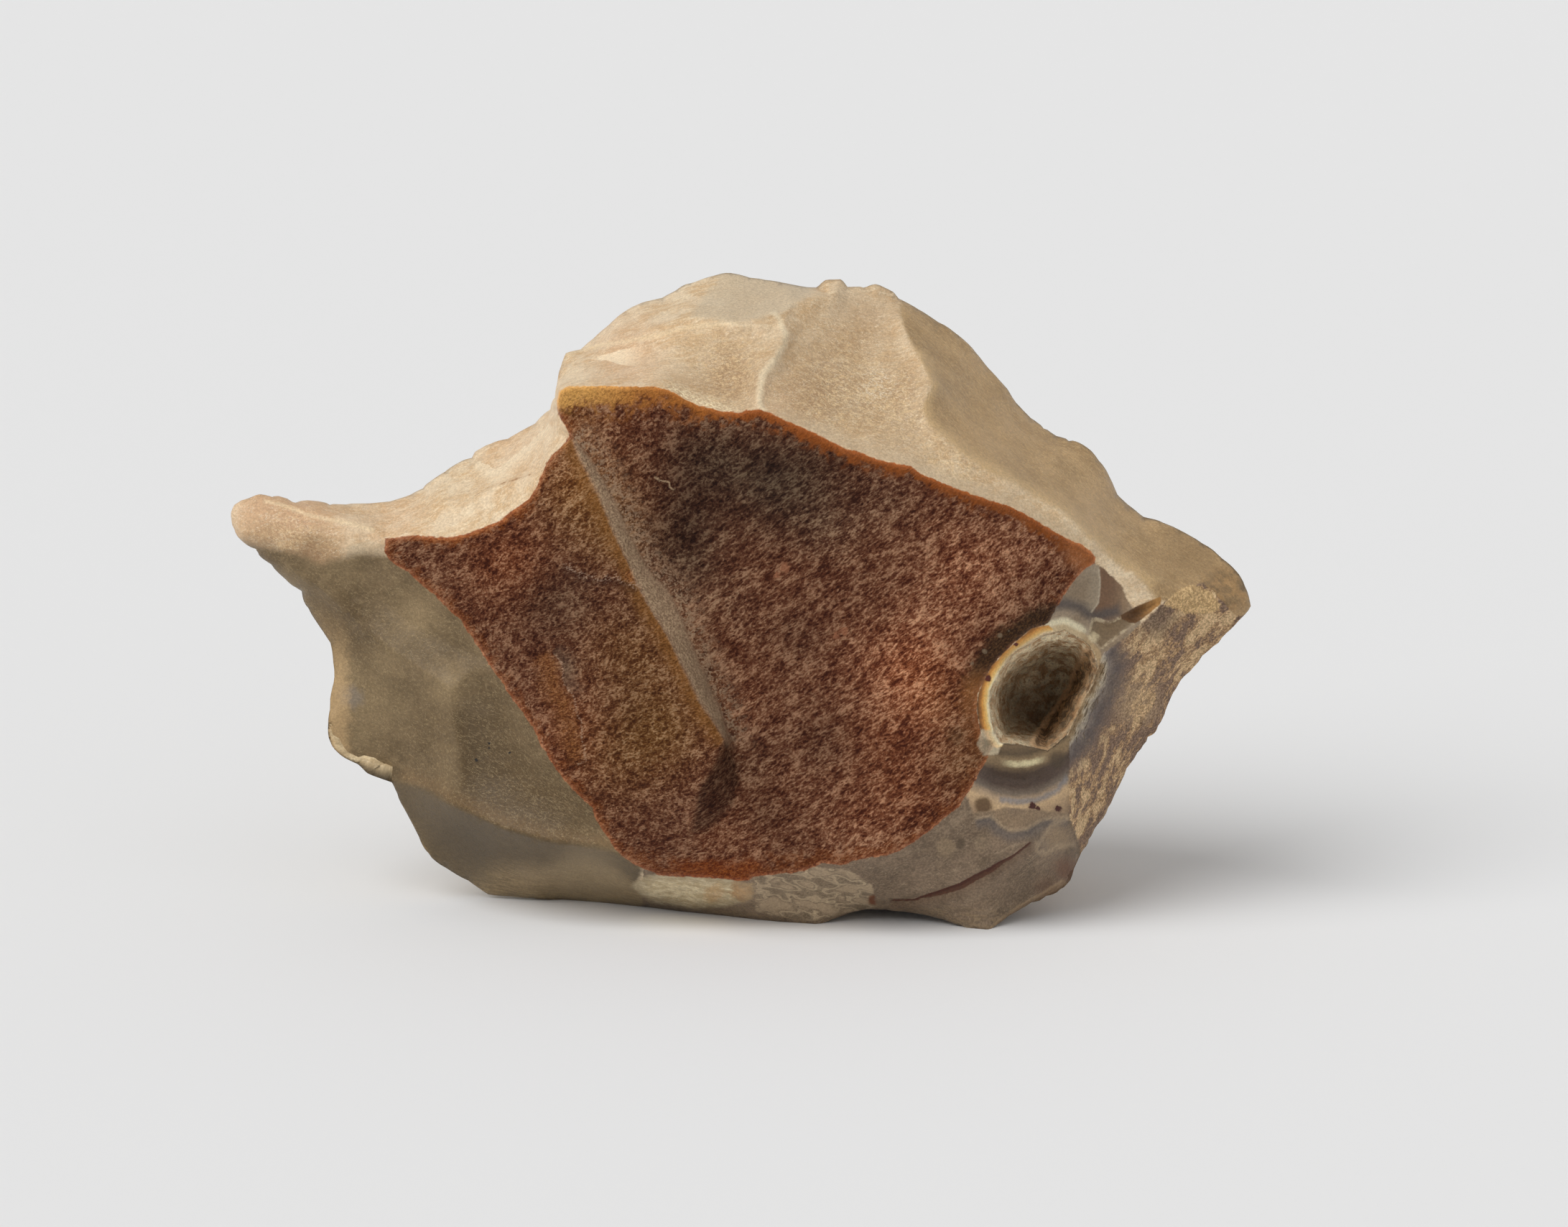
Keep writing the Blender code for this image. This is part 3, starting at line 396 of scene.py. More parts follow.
# Soft patches, as u, v, reach and strength: one list for each quality that comes and goes over the stone
PATCHES = {
    # how much lighter the brown skin is
    "glow": [(4, 62.5, 9, -0.62), (-8, 62, 7, -0.38), (-7.5, 54, 5.5, -0.48), (14, 64, 6, -0.28),
        (-6, 67, 5, -0.20), (31.5, 49.5, 7, 0.80), (26, 42, 5, 0.40), (20, 36.5, 6, 0.70),
        (26, 29.5, 4.5, 0.42), (41, 52.5, 4.5, 0.45), (-22, 63, 5, 0.42), (-1, 29, 3.5, 0.35),
        (-6, 49, 3, -0.25), (16, 15, 6, 0.40), (2, 11, 2.5, 0.25), (-3, 13, 4, 0.35), (-26, 45.5, 6, -0.40),
        (-14, 44, 3.5, -0.15), (11.5, 26, 4, -0.28), (8, 40.5, 4, -0.24), (-15, 30, 6, -0.16),
        (4, 16, 2.5, -0.15)],
    # where it is redder
    "ruddy": [(-21.5, 27, 6, 0.8), (-32, 50, 6, 0.6), (26, 34.5, 6, 0.9), (24, 19, 6, 0.7),
        (-30, 50, 5, 0.5), (20, 26, 5, 0.5)],
    # where the brown skin turns to amber or ochre
    "amber": [(-21.5, 60, 6, 0.9), (-17, 54, 4.5, 0.7), (-14, 38, 6.5, 0.7), (-10, 28, 6, 0.9),
        (-16, 24, 6, 0.6), (31, 23, 4, 0.4), (29, 31, 4, 0.2), (-22, 71, 4, 0.4)],
    # where it greys
    "ashen": [(5, 61, 6, 0.9), (-3, 64, 5, 0.6), (12, 56, 5, 0.6), (-7, 51, 6, 0.6), (20, 59, 4, 0.4),
        (-1, 45, 4, 0.3), (-24, 46, 5, 0.35), (2, 24, 4, 0.3), (-23.2, 36, 1.6, 0.6)],
    # tan, peach and fibrous places in the cream
    "tan": [(-58, 52.4, 3, 0.5), (66, 49, 4, 0.6), (-60, 51.6, 3.6, 0.9), (-64, 57, 4, 0.4),
        (-65.5, 53.6, 2.6, 0.5), (-56, 51.2, 2.6, 0.6), (-1.5, 77.5, 4.5, 0.6), (-1, 74, 4, 0.7),
        (12, 76, 8, 0.75), (10, 71.5, 4, 0.4), (22, 68, 7, 0.6), (23, 75, 3.5, 0.5), (-7.5, 74, 3, 0.6),
        (4, 88, 4, 0.5), (18, 84, 5, 0.5), (34, 60, 5, 0.4)],
    "peach": [(-64, 57, 5, 0.9), (-58, 55.5, 4, 0.6), (-15, 78.6, 5, 0.5), (-47, 56, 5, 0.3),
        (6, 72, 4, 0.4), (-31, 66, 5, 0.3)],
    "fibrous": [(-1.5, 77, 6, 1), (14, 77, 6, 0.8), (22, 72, 6, 0.9), (12, 70, 6, 0.7), (30, 62.5, 6, 0.9),
        (-61, 54, 5, 0.8), (45, 54, 5, 0.6)],
    # where the olive flint is darker, and where it pales
    "murk": [(-53.5, 43.6, 3.4, 0.5), (-51, 38.6, 3.4, 0.5), (-41, 28, 4, 0.5), (-35, 20.5, 6, 1),
        (-26, 16, 6, 1), (-34, 29.5, 6, 0.6), (-40, 10, 7, 0.9), (-33, 5, 5, 0.5), (62, 52, 6, 0.6)],
    "pallor": [(-54, 50, 3.5, 0.5), (-44, 43, 3.5, 0.5), (-48.5, 37, 3, 0.5), (-39.5, 33.5, 2.6, 0.8),
        (-52, 31, 3.5, 0.5), (-18, 9, 3.5, 0.6), (-52, 26, 2.5, 0.4), (-47, 30, 3, 0.3),
        (-61.5, 47.5, 2.5, 0.5), (34, 68, 6, 0.4), (47, 57, 5, 0.4), (-54.5, 36, 2.5, 0.6)],
    # painted shade on the burrow's floor
    "floor_shade": [(40, 29.5, 4, 1), (43.5, 33, 3, 0.5), (37.5, 32, 2.5, 0.4)],
}


# Struck scars of the side away: u, v, reach and tint, from grey through buff to cream
BACK_SCARS = [
    (-50, 46, 13, 0.2), (-38, 58, 13, 0.7), (-36, 34, 15, 0), (-20, 66, 15, 1), (-18, 46, 15, 0.5),
    (-24, 18, 14, 0.25), (-4, 80, 14, 0.8), (0, 64, 12, 0.35), (16, 76, 15, 1), (20, 60, 13, 0.6),
    (36, 64, 14, 0.3), (50, 52, 13, 0.75), (64, 48, 10, 0.4), (8, 88, 10, 0.5), (-63, 55, 9, 0.9),
    (-44, 22, 12, 0.85)]


def patches_of(places, spots):
    total = np.zeros(len(places))
    for u, v, reach, strength in spots:
        away = (places[:, 0] - u) ** 2 + (places[:, 1] - v) ** 2
        total += strength * np.exp(-away / reach ** 2)
    return total


stone = fine_mesh(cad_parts["flint_nodule"])
mesh = stone.data
corners = rows_of(mesh.vertices, "co", 3)
normals = rows_of(mesh.vertex_normals, "vector", 3)
places = drawn_places(corners)
facing = -(normals @ np.array(AWAY))
zones = {name: inside_by(places, outline) for name, outline in ZONES.items()}
lines = {name: beside(places, line) for name, line in LINES.items()}
in_hole = (zones["hole"] > HOLE_LIP) & (places[:, 2] < HOLE_DEEP)
front = np.where(in_hole, 1.0, ramp(facing, -0.06, 0.06))
around = np.where(in_hole, 1.0, ramp(facing, -0.5, -0.2))
zones["rind"] += 5.0 * grain(places, 17.0, 5.0) + 2.0 * grain(places, 5.0, 9.0)
zones["rind"] = np.where(facing < 0, zones["rind"], -5)

relief = relief_of(places, zones, lines, front)
cuts, ripples, tints = struck(places, BACK_SCARS)
behind = ramp(-facing, 0.15, 0.5)
bare = 1 - ramp(zones["rind"], -0.5, 0.3)
relief += behind * bare * (ripples - cuts - BACK_SUNK)
relief *= ramp(corners[:, 2], 0.0002, 0.003)
corners = corners + normals * (relief / 1000)[:, None]
corners[:, 2] = np.maximum(corners[:, 2], 0)
mesh.vertices.foreach_set("co", corners.ravel())
mesh.update()

measures = {"drawn": places, "front": front, "around": around, "cuts": cuts, "tints": tints}
for name, values in measures.items():
    keep(mesh, name, values)
keep(mesh, "edge", sharpness(mesh, corners, rows_of(mesh.vertex_normals, "vector", 3)))
for name, values in {**zones, **lines}.items():
    keep(mesh, name, values)
for name, spots in PATCHES.items():
    keep(mesh, name, patches_of(places, spots))


# ---------------------------------------------------------------- material: nodes

def tone(red, green, blue):
    """A colour given as it looks on screen, 0 to 255."""
    parts = [part / 255 for part in (red, green, blue)]
    return [*(part / 12.92 if part <= 0.04045 else ((part + 0.055) / 1.055) ** 2.4 for part in parts), 1.0]


BUMP_RISE = 0.00016          # metres that a height of 1 stands for

material = bpy.data.materials.new("flint")
material.use_nodes = True
tree = material.node_tree
surface = tree.nodes["Principled BSDF"]


def feed(socket, value):
    """Link a socket to another one, or set its value; a colour is set as it looks on screen."""
    if isinstance(value, bpy.types.NodeSocket):
        tree.links.new(value, socket)
    else:
        socket.default_value = tone(*value) if socket.type == "RGBA" else value


def made(kind, inputs, output=0, **settings):
    """An output of a new node, whose inputs are given by the sockets' names or numbers."""
    node = tree.nodes.new(kind)
    for name, value in settings.items():
        setattr(node, name, value)
    for name, value in inputs.items():
        feed(node.inputs[name], value)
    return node.outputs[output]


def attribute(name, output="Fac"):
    return made("ShaderNodeAttribute", {}, output, attribute_name=name)


def sums(operation, *numbers):
    return made("ShaderNodeMath", dict(enumerate(numbers)), operation=operation)


def plus(first, second):
    return sums("ADD", first, second)


def times(first, second):
    return sums("MULTIPLY", first, second)


def apart(value, middle):
    """How far a value is from a middle one."""
    return sums("ABSOLUTE", plus(value, -middle))


def swing(share, reach):
    """A noise of 0 to 1, made to swing about 0."""
    return times(plus(share, -0.5), reach)


def step(value, low, high, start=0.0, end=1.0, shape="SMOOTHSTEP"):
    """Smooth step: the start value up to low, the end value from high."""
    inputs = dict(enumerate((value, low, high, start, end)))
    return made("ShaderNodeMapRange", inputs, interpolation_type=shape, clamp=False)


def below(value, low, high, end=0.0, start=1.0):
    """Smooth step down: the start value up to low, the end value from high."""
    return step(value, low, high, start, end)


def blend(share, first, second):
    """A colour between two."""
    return made("ShaderNodeMix", {0: share, 6: first, 7: second}, 2, data_type="RGBA")


def between(share, first, second):
    """A number between two."""
    return made("ShaderNodeMix", {0: share, 2: first, 3: second}, data_type="FLOAT")


def shaded(colour, light):
    """A colour made lighter or darker: light 1 leaves it as it is."""
    return made("ShaderNodeHueSaturation", {"Value": light, "Color": colour})


def split(vector):
    """The first two parts of a vector."""
    parts = made("ShaderNodeSeparateXYZ", {0: vector}).node.outputs
    return parts["X"], parts["Y"]


def speckle(coords, size, detail, roughness):
    inputs = {"Vector": coords, "Scale": 1 / size, "Detail": detail, "Roughness": roughness}
    return made("ShaderNodeTexNoise", inputs, "Fac")


def bands(value, low, high, stops):
    """Colours along a value from low to high, each stop a value and a colour."""
    colours = made("ShaderNodeValToRGB", {0: step(value, low, high, shape="LINEAR")})
    points = colours.node.color_ramp.elements
    while len(points) < len(stops):
        points.new(0.5)
    for point, (place, colour) in zip(points, stops):
        point.position = (place - low) / (high - low)
        point.color = tone(*colour)
    return colours


drawn = attribute("drawn", "Vector")
flat = made("ShaderNodeVectorMath", {0: drawn, 1: (1.0, 1.0, 0.0)}, operation="MULTIPLY")
across_view, up_view = split(drawn)
fine_noise = speckle(drawn, 0.33, 3, 0.7)
ragged = swing(speckle(drawn, 1.1, 4, 0.65), 0.9)
clouds = speckle(drawn, 5, 4, 0.6)
lumps = speckle(drawn, 1.6, 4, 0.65)
pepper = step(fine_noise, 0.40, 0.62)


def frayed(value, reach):
    """A value made to wander a little, so that where it ends is ragged."""
    return plus(value, times(ragged, reach))


from_rim = frayed(times(attribute("hole"), -1), 0.4)


def streaks(angle, along, across, detail=3, roughness=0.6):
    """Noise drawn out at an angle, in degrees up from u, into streaks of the given size."""
    inputs = {"Vector": drawn, "Rotation": (0, 0, math.radians(angle)), "Scale": (along, across, across)}
    return speckle(made("ShaderNodeMapping", inputs, vector_type="TEXTURE"), 1, detail, roughness)


def ridges(angle, along, across):
    """Like streaks, but a net of sharp winding ridges."""
    net = streaks(angle, along, across)
    net.node.noise_type = "RIDGED_MULTIFRACTAL"
    net.node.normalize = False
    feed(net.node.inputs["Offset"], 1)
    feed(net.node.inputs["Gain"], 2)
    return net


def crests(value, width=0.025):
    """Thin winding threads, where a noise passes its middle."""
    return below(apart(value, 0.5), 0, width)


def spot(u, v, reach, soft=0.5, shift=1):
    """A round spot at a drawn place, with a ragged edge."""
    away = made("ShaderNodeVectorMath", {0: flat, 1: (u, v, 0)}, "Value", operation="DISTANCE")
    return below(frayed(away, -shift), reach * (1 - soft), reach)


def zone(name, soft=0.12, shift=1):
    """1 inside a zone and 0 outside, across an edge that wanders a little."""
    return step(frayed(attribute(name), shift), -soft, soft)


def line_parts(name):
    """The distance across an open line, and the distance past its ends."""
    return split(attribute(name, "Vector"))


def mark(name, width, soft=0.1, shift=0.3):
    """1 on an open line, as wide as twice the width, wandering a little."""
    side, past = line_parts(name)
    across = sums("ABSOLUTE", frayed(side, shift))
    return below(sums("MAXIMUM", across, past), width - soft, width + soft)


def beside_line(name, hand, reach, shift=0.5):
    """1 just beside an open line, fading out over the reach: hand is 1 on its left and -1 on its right."""
    side, past = line_parts(name)
    across = times(frayed(side, shift), hand)
    return times(times(step(across, -0.05, 0.1), below(across, 0.15 * reach, reach)), below(past, 0, 0.8))


def beside_softly(name, hand, reach):
    """Like beside_line, but rising gently from the line itself, as a rounded ridge is lit."""
    side, past = line_parts(name)
    across = times(side, hand)
    share = times(step(across, -0.1 * reach, 0.25 * reach), below(across, 0.3 * reach, reach))
    return times(share, below(past, 0, 0.3 * reach))


class Coats:
    """A colour painted coat over coat: each call adds one where the mask is 1, as dense as the share."""

    def __init__(self, colour):
        self.colour = colour

    def __call__(self, mask, colour, share=1):
        self.colour = blend(mask if share == 1 else times(mask, share), self.colour, colour)
        return self.colour


# The brown skin's weave: rounder dots at the field's upper left, fibres elsewhere
dotted = below(plus(across_view, times(up_view, -0.55)), -40, -24)
weave = between(zone("plate", 0.5), streaks(36, 0.52, 0.26, 5, 0.76), streaks(16, 0.62, 0.25, 5, 0.76))
weave = between(times(dotted, step(attribute("plate"), 0.5, -0.5)), weave, speckle(drawn, 0.42, 5, 0.74))
skin_threads = step(ridges(32, 1.25, 0.62), 0.7, 1.7)


# ---------------------------------------------------------------- material: what the stone is made of

def cream_flint():
    """White-patinated flint: buff clouds, wisps and fibres over translucent grey."""
    coat = Coats(blend(step(clouds, 0.38, 0.62), (220, 197, 164), (204, 172, 131)))
    coat(step(streaks(14, 3.4, 0.7, 5, 0.7), 0.46, 0.66), (236, 216, 182), 0.6)
    coat(step(streaks(8, 6, 1, 4, 0.7), 0.52, 0.66), (196, 176, 147), 0.4)
    coat(attribute("peach"), (208, 165, 128))
    coat(attribute("tan"), (174, 142, 106))
    fibrous = attribute("fibrous")
    fibres = step(speckle(drawn, 0.8, 5, 0.78), 0.48, 0.62)
    coat(times(fibres, times(fibrous, 0.7)), (222, 190, 144))
    coat(times(crests(streaks(-40, 1.6, 0.7, 4, 0.65)), times(fibrous, 0.7)), (240, 216, 172))
    coat(times(crests(streaks(35, 1.4, 0.6, 4, 0.65), 0.02), times(fibrous, 0.6)), (150, 120, 90))
    coat(crests(streaks(16, 3, 1.2, 4, 0.6), 0.012), (244, 228, 198), 0.5)
    coat(zone("rear", 0.5, 1.6), (202, 183, 154), 0.75)
    veil = times(beside_line("top", 1, 2.6, 1.5), step(across_view, 3, 8))
    coat(veil, (194, 172, 142), 0.6)
    fringe = times(beside_line("top", 1, 2.2, 2.5), spot(-5.5, 72.6, 7, 0.6))
    coat(times(fringe, step(streaks(-60, 1.6, 0.3, 3), 0.45, 0.6)), (240, 220, 180))
    coat(times(zone("dish", 0.1, 0.3), below(across_view, -17, -12)), (244, 222, 188), 0.8)
    coat(times(spot(18.8, 74.6, 3.4, 0.7, 4), crests(streaks(-42, 3, 0.6, 3), 0.03)), (236, 220, 192))
    coat(mark("rib", 0.4, 0.4, 0.8), (238, 220, 186), 0.6)
    coat(mark("flake_ridge", 0.3, 0.3, 1.2), (236, 212, 172), 0.45)
    coat(mark("horn_crest", 0.25, 0.25, 0.6), (236, 212, 172), 0.5)
    coat(beside_line("band_flake", -1, 2.6, 2), (240, 223, 192), 0.5)
    coat(zone("glaze", 0.2, 1.2), (190, 170, 140), 0.6)
    broken = times(mark("band_step", 0.14, 0.1, 0.6), step(lumps, 0.46, 0.56))
    # Painted shade on the underside of the horn.
    coat(spot(-58.5, 51.4, 3, 0.8, 1.5), (150, 116, 82), 0.6)
    return coat(broken, (150, 105, 66), 0.7)


def slope_flint():
    """Olive-tan flint of the right shoulder, peppered with pale threads."""
    coat = Coats(blend(step(clouds, 0.35, 0.65), (164, 134, 94), (184, 152, 110)))
    coat(step(streaks(-38, 1, 0.35, 5, 0.78), 0.48, 0.62), (206, 174, 128), 0.5)
    coat(crests(streaks(-38, 2, 0.8, 4), 0.015), (218, 190, 146), 0.6)
    coat(attribute("pallor"), (200, 167, 124))
    coat(attribute("murk"), (138, 112, 78))
    coat(mark("crest", 0.9, 0.8, 1), (216, 184, 136), 0.5)
    coat(times(spot(49.5, 51, 0.9, 0.6, 2.5), step(lumps, 0.5, 0.6)), (60, 48, 38))
    tip = blend(step(lumps, 0.4, 0.6), (122, 98, 68), (168, 132, 88))
    return coat(spot(66.5, 46.5, 4.5, 0.6, 2), tip, 0.7)


def olive_flint():
    """Grey-olive flint of the left flank, with paler mottles and specks, painted light and shade across its
    bulge, and a painted highlight above its fold.
    """
    coat = Coats(blend(step(clouds, 0.36, 0.64), (98, 80, 54), (118, 98, 70)))
    coat(step(speckle(drawn, 2.4, 4, 0.65), 0.52, 0.68), (138, 116, 84), 0.4)
    coat(attribute("pallor"), (152, 130, 95))
    coat(attribute("murk"), (88, 69, 43))
    # Painted highlight on the bulge's left side and painted shade on its right side.
    coat(beside_softly("bulge", -1, 6), (146, 124, 91), 0.25)
    coat(beside_softly("bulge", 1, 7), (84, 69, 48), 0.35)
    # Painted highlight on the ridge just above the fold.
    coat(beside_softly("fold", -1, 3), (128, 98, 62), 0.3)
    coat(step(streaks(-30, 0.7, 0.24, 5, 0.78), 0.52, 0.66), (160, 138, 102), 0.4)
    coat(crests(streaks(-25, 1.8, 0.9, 4), 0.010), (176, 154, 116), 0.6)
    flecks = times(step(streaks(-35, 0.9, 0.25, 3, 0.7), 0.56, 0.62), spot(-25.5, 18.5, 5.5, 0.7, 2))
    coat(flecks, (150, 128, 92), 0.45)
    coat(spot(-53, 32, 2.4, 0.7, 2), (128, 116, 102), 0.7)
    rim = times(below(up_view, 30, 47), below(frayed(across_view, 3), -54.4, -52.4))
    coat(rim, (188, 156, 112), 0.7)
    # Sharp convex edges are lightened: partly the paler colour of thin edges, partly painted highlight.
    pale_edge_and_highlight = times(step(attribute("edge"), 0.4, 1.6), below(across_view, -30, -26))
    coat(pale_edge_and_highlight, (160, 130, 84), 0.35)
    for u, v, reach in ((-34.1, 25, 0.30), (-35.8, 23.4, 0.28), (-31.3, 24.4, 0.24), (-34, 25.7, 0.2)):
        coat(spot(u, v, reach, 0.6, 0.9), (34, 30, 26))
    return coat.colour


def hollow_flint():
    """The hollow along the foot of the flank: painted shadow under its fold, with faint strokes along it.
    """
    strokes = step(streaks(-8, 4, 0.3, 5, 0.78), 0.42, 0.60)
    coat = Coats(blend(strokes, (128, 109, 80), (156, 134, 100)))
    coat(spot(-28, 8.6, 4, 0.8, 1.5), (168, 146, 114), 0.5)
    # Painted shadow under the fold, wider towards the left.
    below_fold = frayed(line_parts("fold")[0], 1)
    shadow = sums("DIVIDE", below_fold, step(across_view, -42, -18, 9, 3.4))
    coat(below(shadow, 0.45, 1), (84, 70, 50), 0.8)
    coat(spot(-21, 7, 7, 0.7, 1), (160, 140, 110), 0.6)
    coat(spot(-38.5, 10.5, 7, 0.6, 1), (88, 74, 54), 0.75)
    # Sharp convex edges are lightened: partly the paler colour of thin edges, partly painted highlight.
    pale_edge_and_highlight = times(step(attribute("edge"), 0.3, 1.2), below(across_view, -34, -28))
    return coat(pale_edge_and_highlight, (160, 128, 84), 0.6)


def grey_flint():
    """Brown-grey flint under the field: fine grain, cream swirls, and a rusty crack."""
    coat = Coats(blend(step(clouds, 0.35, 0.65), (106, 88, 70), (126, 106, 86)))
    coat(pepper, (154, 132, 106), 0.3)
    coat(step(lumps, 0.54, 0.66), (92, 76, 58), 0.4)
    coat(step(streaks(24, 5, 1.4, 5, 0.7), 0.52, 0.66), (152, 132, 108), 0.45)
    coat(crests(streaks(38, 5, 1.6, 3), 0.008), (172, 152, 126), 0.5)
    coat(beside_softly("swirl", 1, 3.4), (150, 126, 98), 0.6)
    coat(beside_softly("swirl", -1, 2.2), (92, 86, 84), 0.6)
    coat(mark("swirl", 0.14, 0.4, 1.6), (184, 160, 128), 0.6)
    coat(spot(43.6, 13, 2.6, 0.8, 2), (160, 136, 106), 0.6)
    coat(mark("loop", 0.2, 0.5, 1.6), (186, 162, 130), 0.6)
    for place, colour, share in (
            ((28.3, 11.5, 1.5, 0.4, 2.4), (150, 128, 100), 0.6),
            ((30.4, 11.9, 0.8, 0.5, 1.5), (78, 64, 48), 0.7),
            ((33.2, 11.8, 1.4, 0.6, 2.4), (146, 126, 100), 0.4),
            ((44.8, 8.4, 2.6, 0.8, 2), (112, 76, 56), 0.7), ((42, 6, 2.4, 0.8, 2), (112, 80, 58), 0.5)):
        coat(spot(*place), colour, share)
    coat(beside_line("bevel", -1, 4, 0.6), (142, 114, 84), 0.5)
    coat(mark("bevel", 0.15, 0.15, 0.4), (168, 142, 110), 0.6)
    strokes = times(step(streaks(-4, 4, 0.5, 4), 0.45, 0.62), below(up_view, 2, 5))
    coat(strokes, (146, 124, 94), 0.5)
    thickness = below(apart(across_view, 31.5), 1, 8, 0.06, 0.36)
    side, past = line_parts("crack")
    crack = below(sums("ABSOLUTE", frayed(side, 0.5)), thickness, plus(thickness, 0.15))
    coat(times(crack, below(past, 0, 0.5)), (76, 38, 24))
    return coat(beside_line("crack", -1, 1.8, 0.8), (100, 72, 50), 0.35)


def under_bands():
    """Banded flint just below the burrow: dark, then a bright lip, dark again, then cream."""
    bow = sums("POWER", apart(across_view, 38), 2)
    level = frayed(plus(up_view, times(bow, -0.055)), 0.9)
    coat = Coats(bands(level, 14, 26, [
        (14.5, (152, 126, 98)), (16.8, (194, 164, 126)), (17.9, (168, 144, 116)), (18.8, (118, 104, 90)),
        (19.8, (88, 72, 62)), (21.4, (82, 66, 54)), (22.3, (128, 106, 78)), (23.4, (134, 112, 82)),
        (24.2, (92, 76, 56)), (25.2, (112, 92, 68))]))
    # The bright lip: pale flint along the lip, brightened further as a painted highlight.
    lip = times(below(apart(level, 22.8), 0.1, 0.7), spot(39, 22.8, 3.6, 0.7, 0.5))
    coat(lip, (226, 212, 168), 0.85)
    coat(spot(43.6, 23.4, 1.6, 0.6), (78, 64, 48), 0.8)
    coat(mark("bluish", 0.35, 0.3, 1.2), (124, 122, 124), 0.7)
    for u, v, reach in ((40.1, 17, 0.7), (40.9, 16.7, 0.5), (43.5, 16.8, 0.6)):
        coat(spot(u, v, reach, 0.5, 1.5), (72, 34, 26))
    return coat(spot(33.4, 17.2, 1.6, 0.5), (88, 64, 40), 0.9)


def pane_flint():
    """Translucent flint between the field and the burrow: smoky bands, and a pale lip at the rim."""
    coat = Coats(blend(step(clouds, 0.4, 0.6), (136, 117, 94), (150, 132, 110)))
    brown = blend(step(across_view, 51, 54.5), (112, 80, 56), (160, 120, 78))
    coat(beside_line("pane_edge", 1, 5.5), brown, 0.85)
    coat(beside_line("pane_edge", -1, 2.5), (162, 148, 126), 0.5)
    coat(mark("smoke", 0.75, 0.7, 1), (84, 75, 70), 0.9)
    facet = frayed(attribute("facet"), 0.4)
    coat(step(facet, -0.1, 0.1), blend(lumps, (92, 74, 52), (132, 110, 80)), 0.75)
    outline = below(sums("ABSOLUTE", facet), 0.08, 0.35)
    coat(times(outline, step(lumps, 0.44, 0.58, 0.1, 0.6)), (200, 182, 150))
    pale = spot(43.6, 41.8, 4.4, 0.3)
    coat(times(below(from_rim, 1.3, 2.1), pale), (216, 204, 172))
    coat(below(from_rim, 0.6, 1.2), (176, 148, 108), 0.7)
    coat(spot(48.6, 40.2, 1, 0.6, 1.5), (206, 188, 152), 0.8)
    return coat(mark("pane_edge", 0.12, 0.1, 0.2), (196, 182, 158), 0.5)


def cortex():
    """The rough rind: cream and tan blotches in grey-brown, with pale and grey bands at the burrow."""
    broad = plus(streaks(52, 6.5, 3.2, 5, 0.64), swing(lumps, 0.35))
    broad = plus(broad, swing(fine_noise, 0.12))
    dark = blend(pepper, (126, 101, 84), (160, 132, 110))
    tan = blend(pepper, (170, 134, 98), (202, 166, 124))
    cream = blend(pepper, (206, 172, 128), (236, 204, 160))
    coat = Coats(blend(step(broad, 0.455, 0.505), dark, tan))
    coat(step(broad, 0.52, 0.575), cream)
    coat(spot(54, 31.5, 5, 0.8, 3), cream, 0.5)
    specks = step(speckle(drawn, 0.7, 3, 0.7), 0.60, 0.66)
    coat(specks, (92, 66, 50), 0.6)
    coat(spot(57, 43, 4.5, 0.8, 3), blend(pepper, (104, 84, 70), (136, 112, 94)), 0.85)
    ring = plus(from_rim, frayed(swing(lumps, 1.8), 1.2))
    rings = bands(ring, 0, 6, [
        (0, (122, 94, 62)), (0.5, (166, 142, 108)), (1, (202, 188, 164)), (1.7, (140, 130, 122)),
        (2.5, (108, 98, 94)), (3.8, (128, 110, 98)), (5.4, (144, 120, 100))])
    coat(below(ring, 2.8, 6), rings, 0.9)
    cracks = times(step(streaks(64, 2.4, 0.35, 4, 0.7), 0.53, 0.58), below(ring, 1.4, 2.6))
    coat(cracks, (88, 66, 38), 0.8)
    knob_cream = blend(pepper, (196, 160, 112), (234, 200, 148))
    return coat(zone("knob", 0.2, 1.5), knob_cream)


def chalk():
    """Chalky rind left in a patch under the plate, with a rusty stain."""
    coat = Coats(blend(step(lumps, 0.40, 0.60), (196, 176, 138), (226, 210, 174)))
    coat(step(streaks(-20, 3.6, 0.7, 4), 0.50, 0.62), (168, 146, 112), 0.5)
    coat(spot(0.6, 5.6, 2, 0.4, 2.6), (178, 132, 84), 0.7)
    coat(spot(-3.4, 5.2, 1.8, 0.6, 2.8), (196, 154, 104), 0.5)
    rim = below(frayed(attribute("chalk"), 1.4), 0, 1.6)
    return coat(rim, (146, 128, 100), 0.6)


def chips_flint():
    """Small grey-olive facets beside the chalk, with cream edges."""
    facets = streaks(-32, 4.4, 2, 1, 0.5)
    coat = Coats(bands(facets, 0.2, 0.8, [
        (0.36, (122, 104, 82)), (0.44, (142, 124, 100)), (0.45, (180, 158, 128)),
        (0.51, (158, 138, 112)), (0.52, (126, 108, 86)), (0.60, (168, 146, 118))]))
    coat(pepper, (170, 150, 124), 0.25)
    coat(crests(facets, 0.010), (202, 180, 146), 0.6)
    coat(crests(streaks(20, 3.4, 1.4, 2), 0.008), (196, 174, 142), 0.5)
    return coat(spot(18.5, 4.3, 1, 0.5), (110, 64, 36))


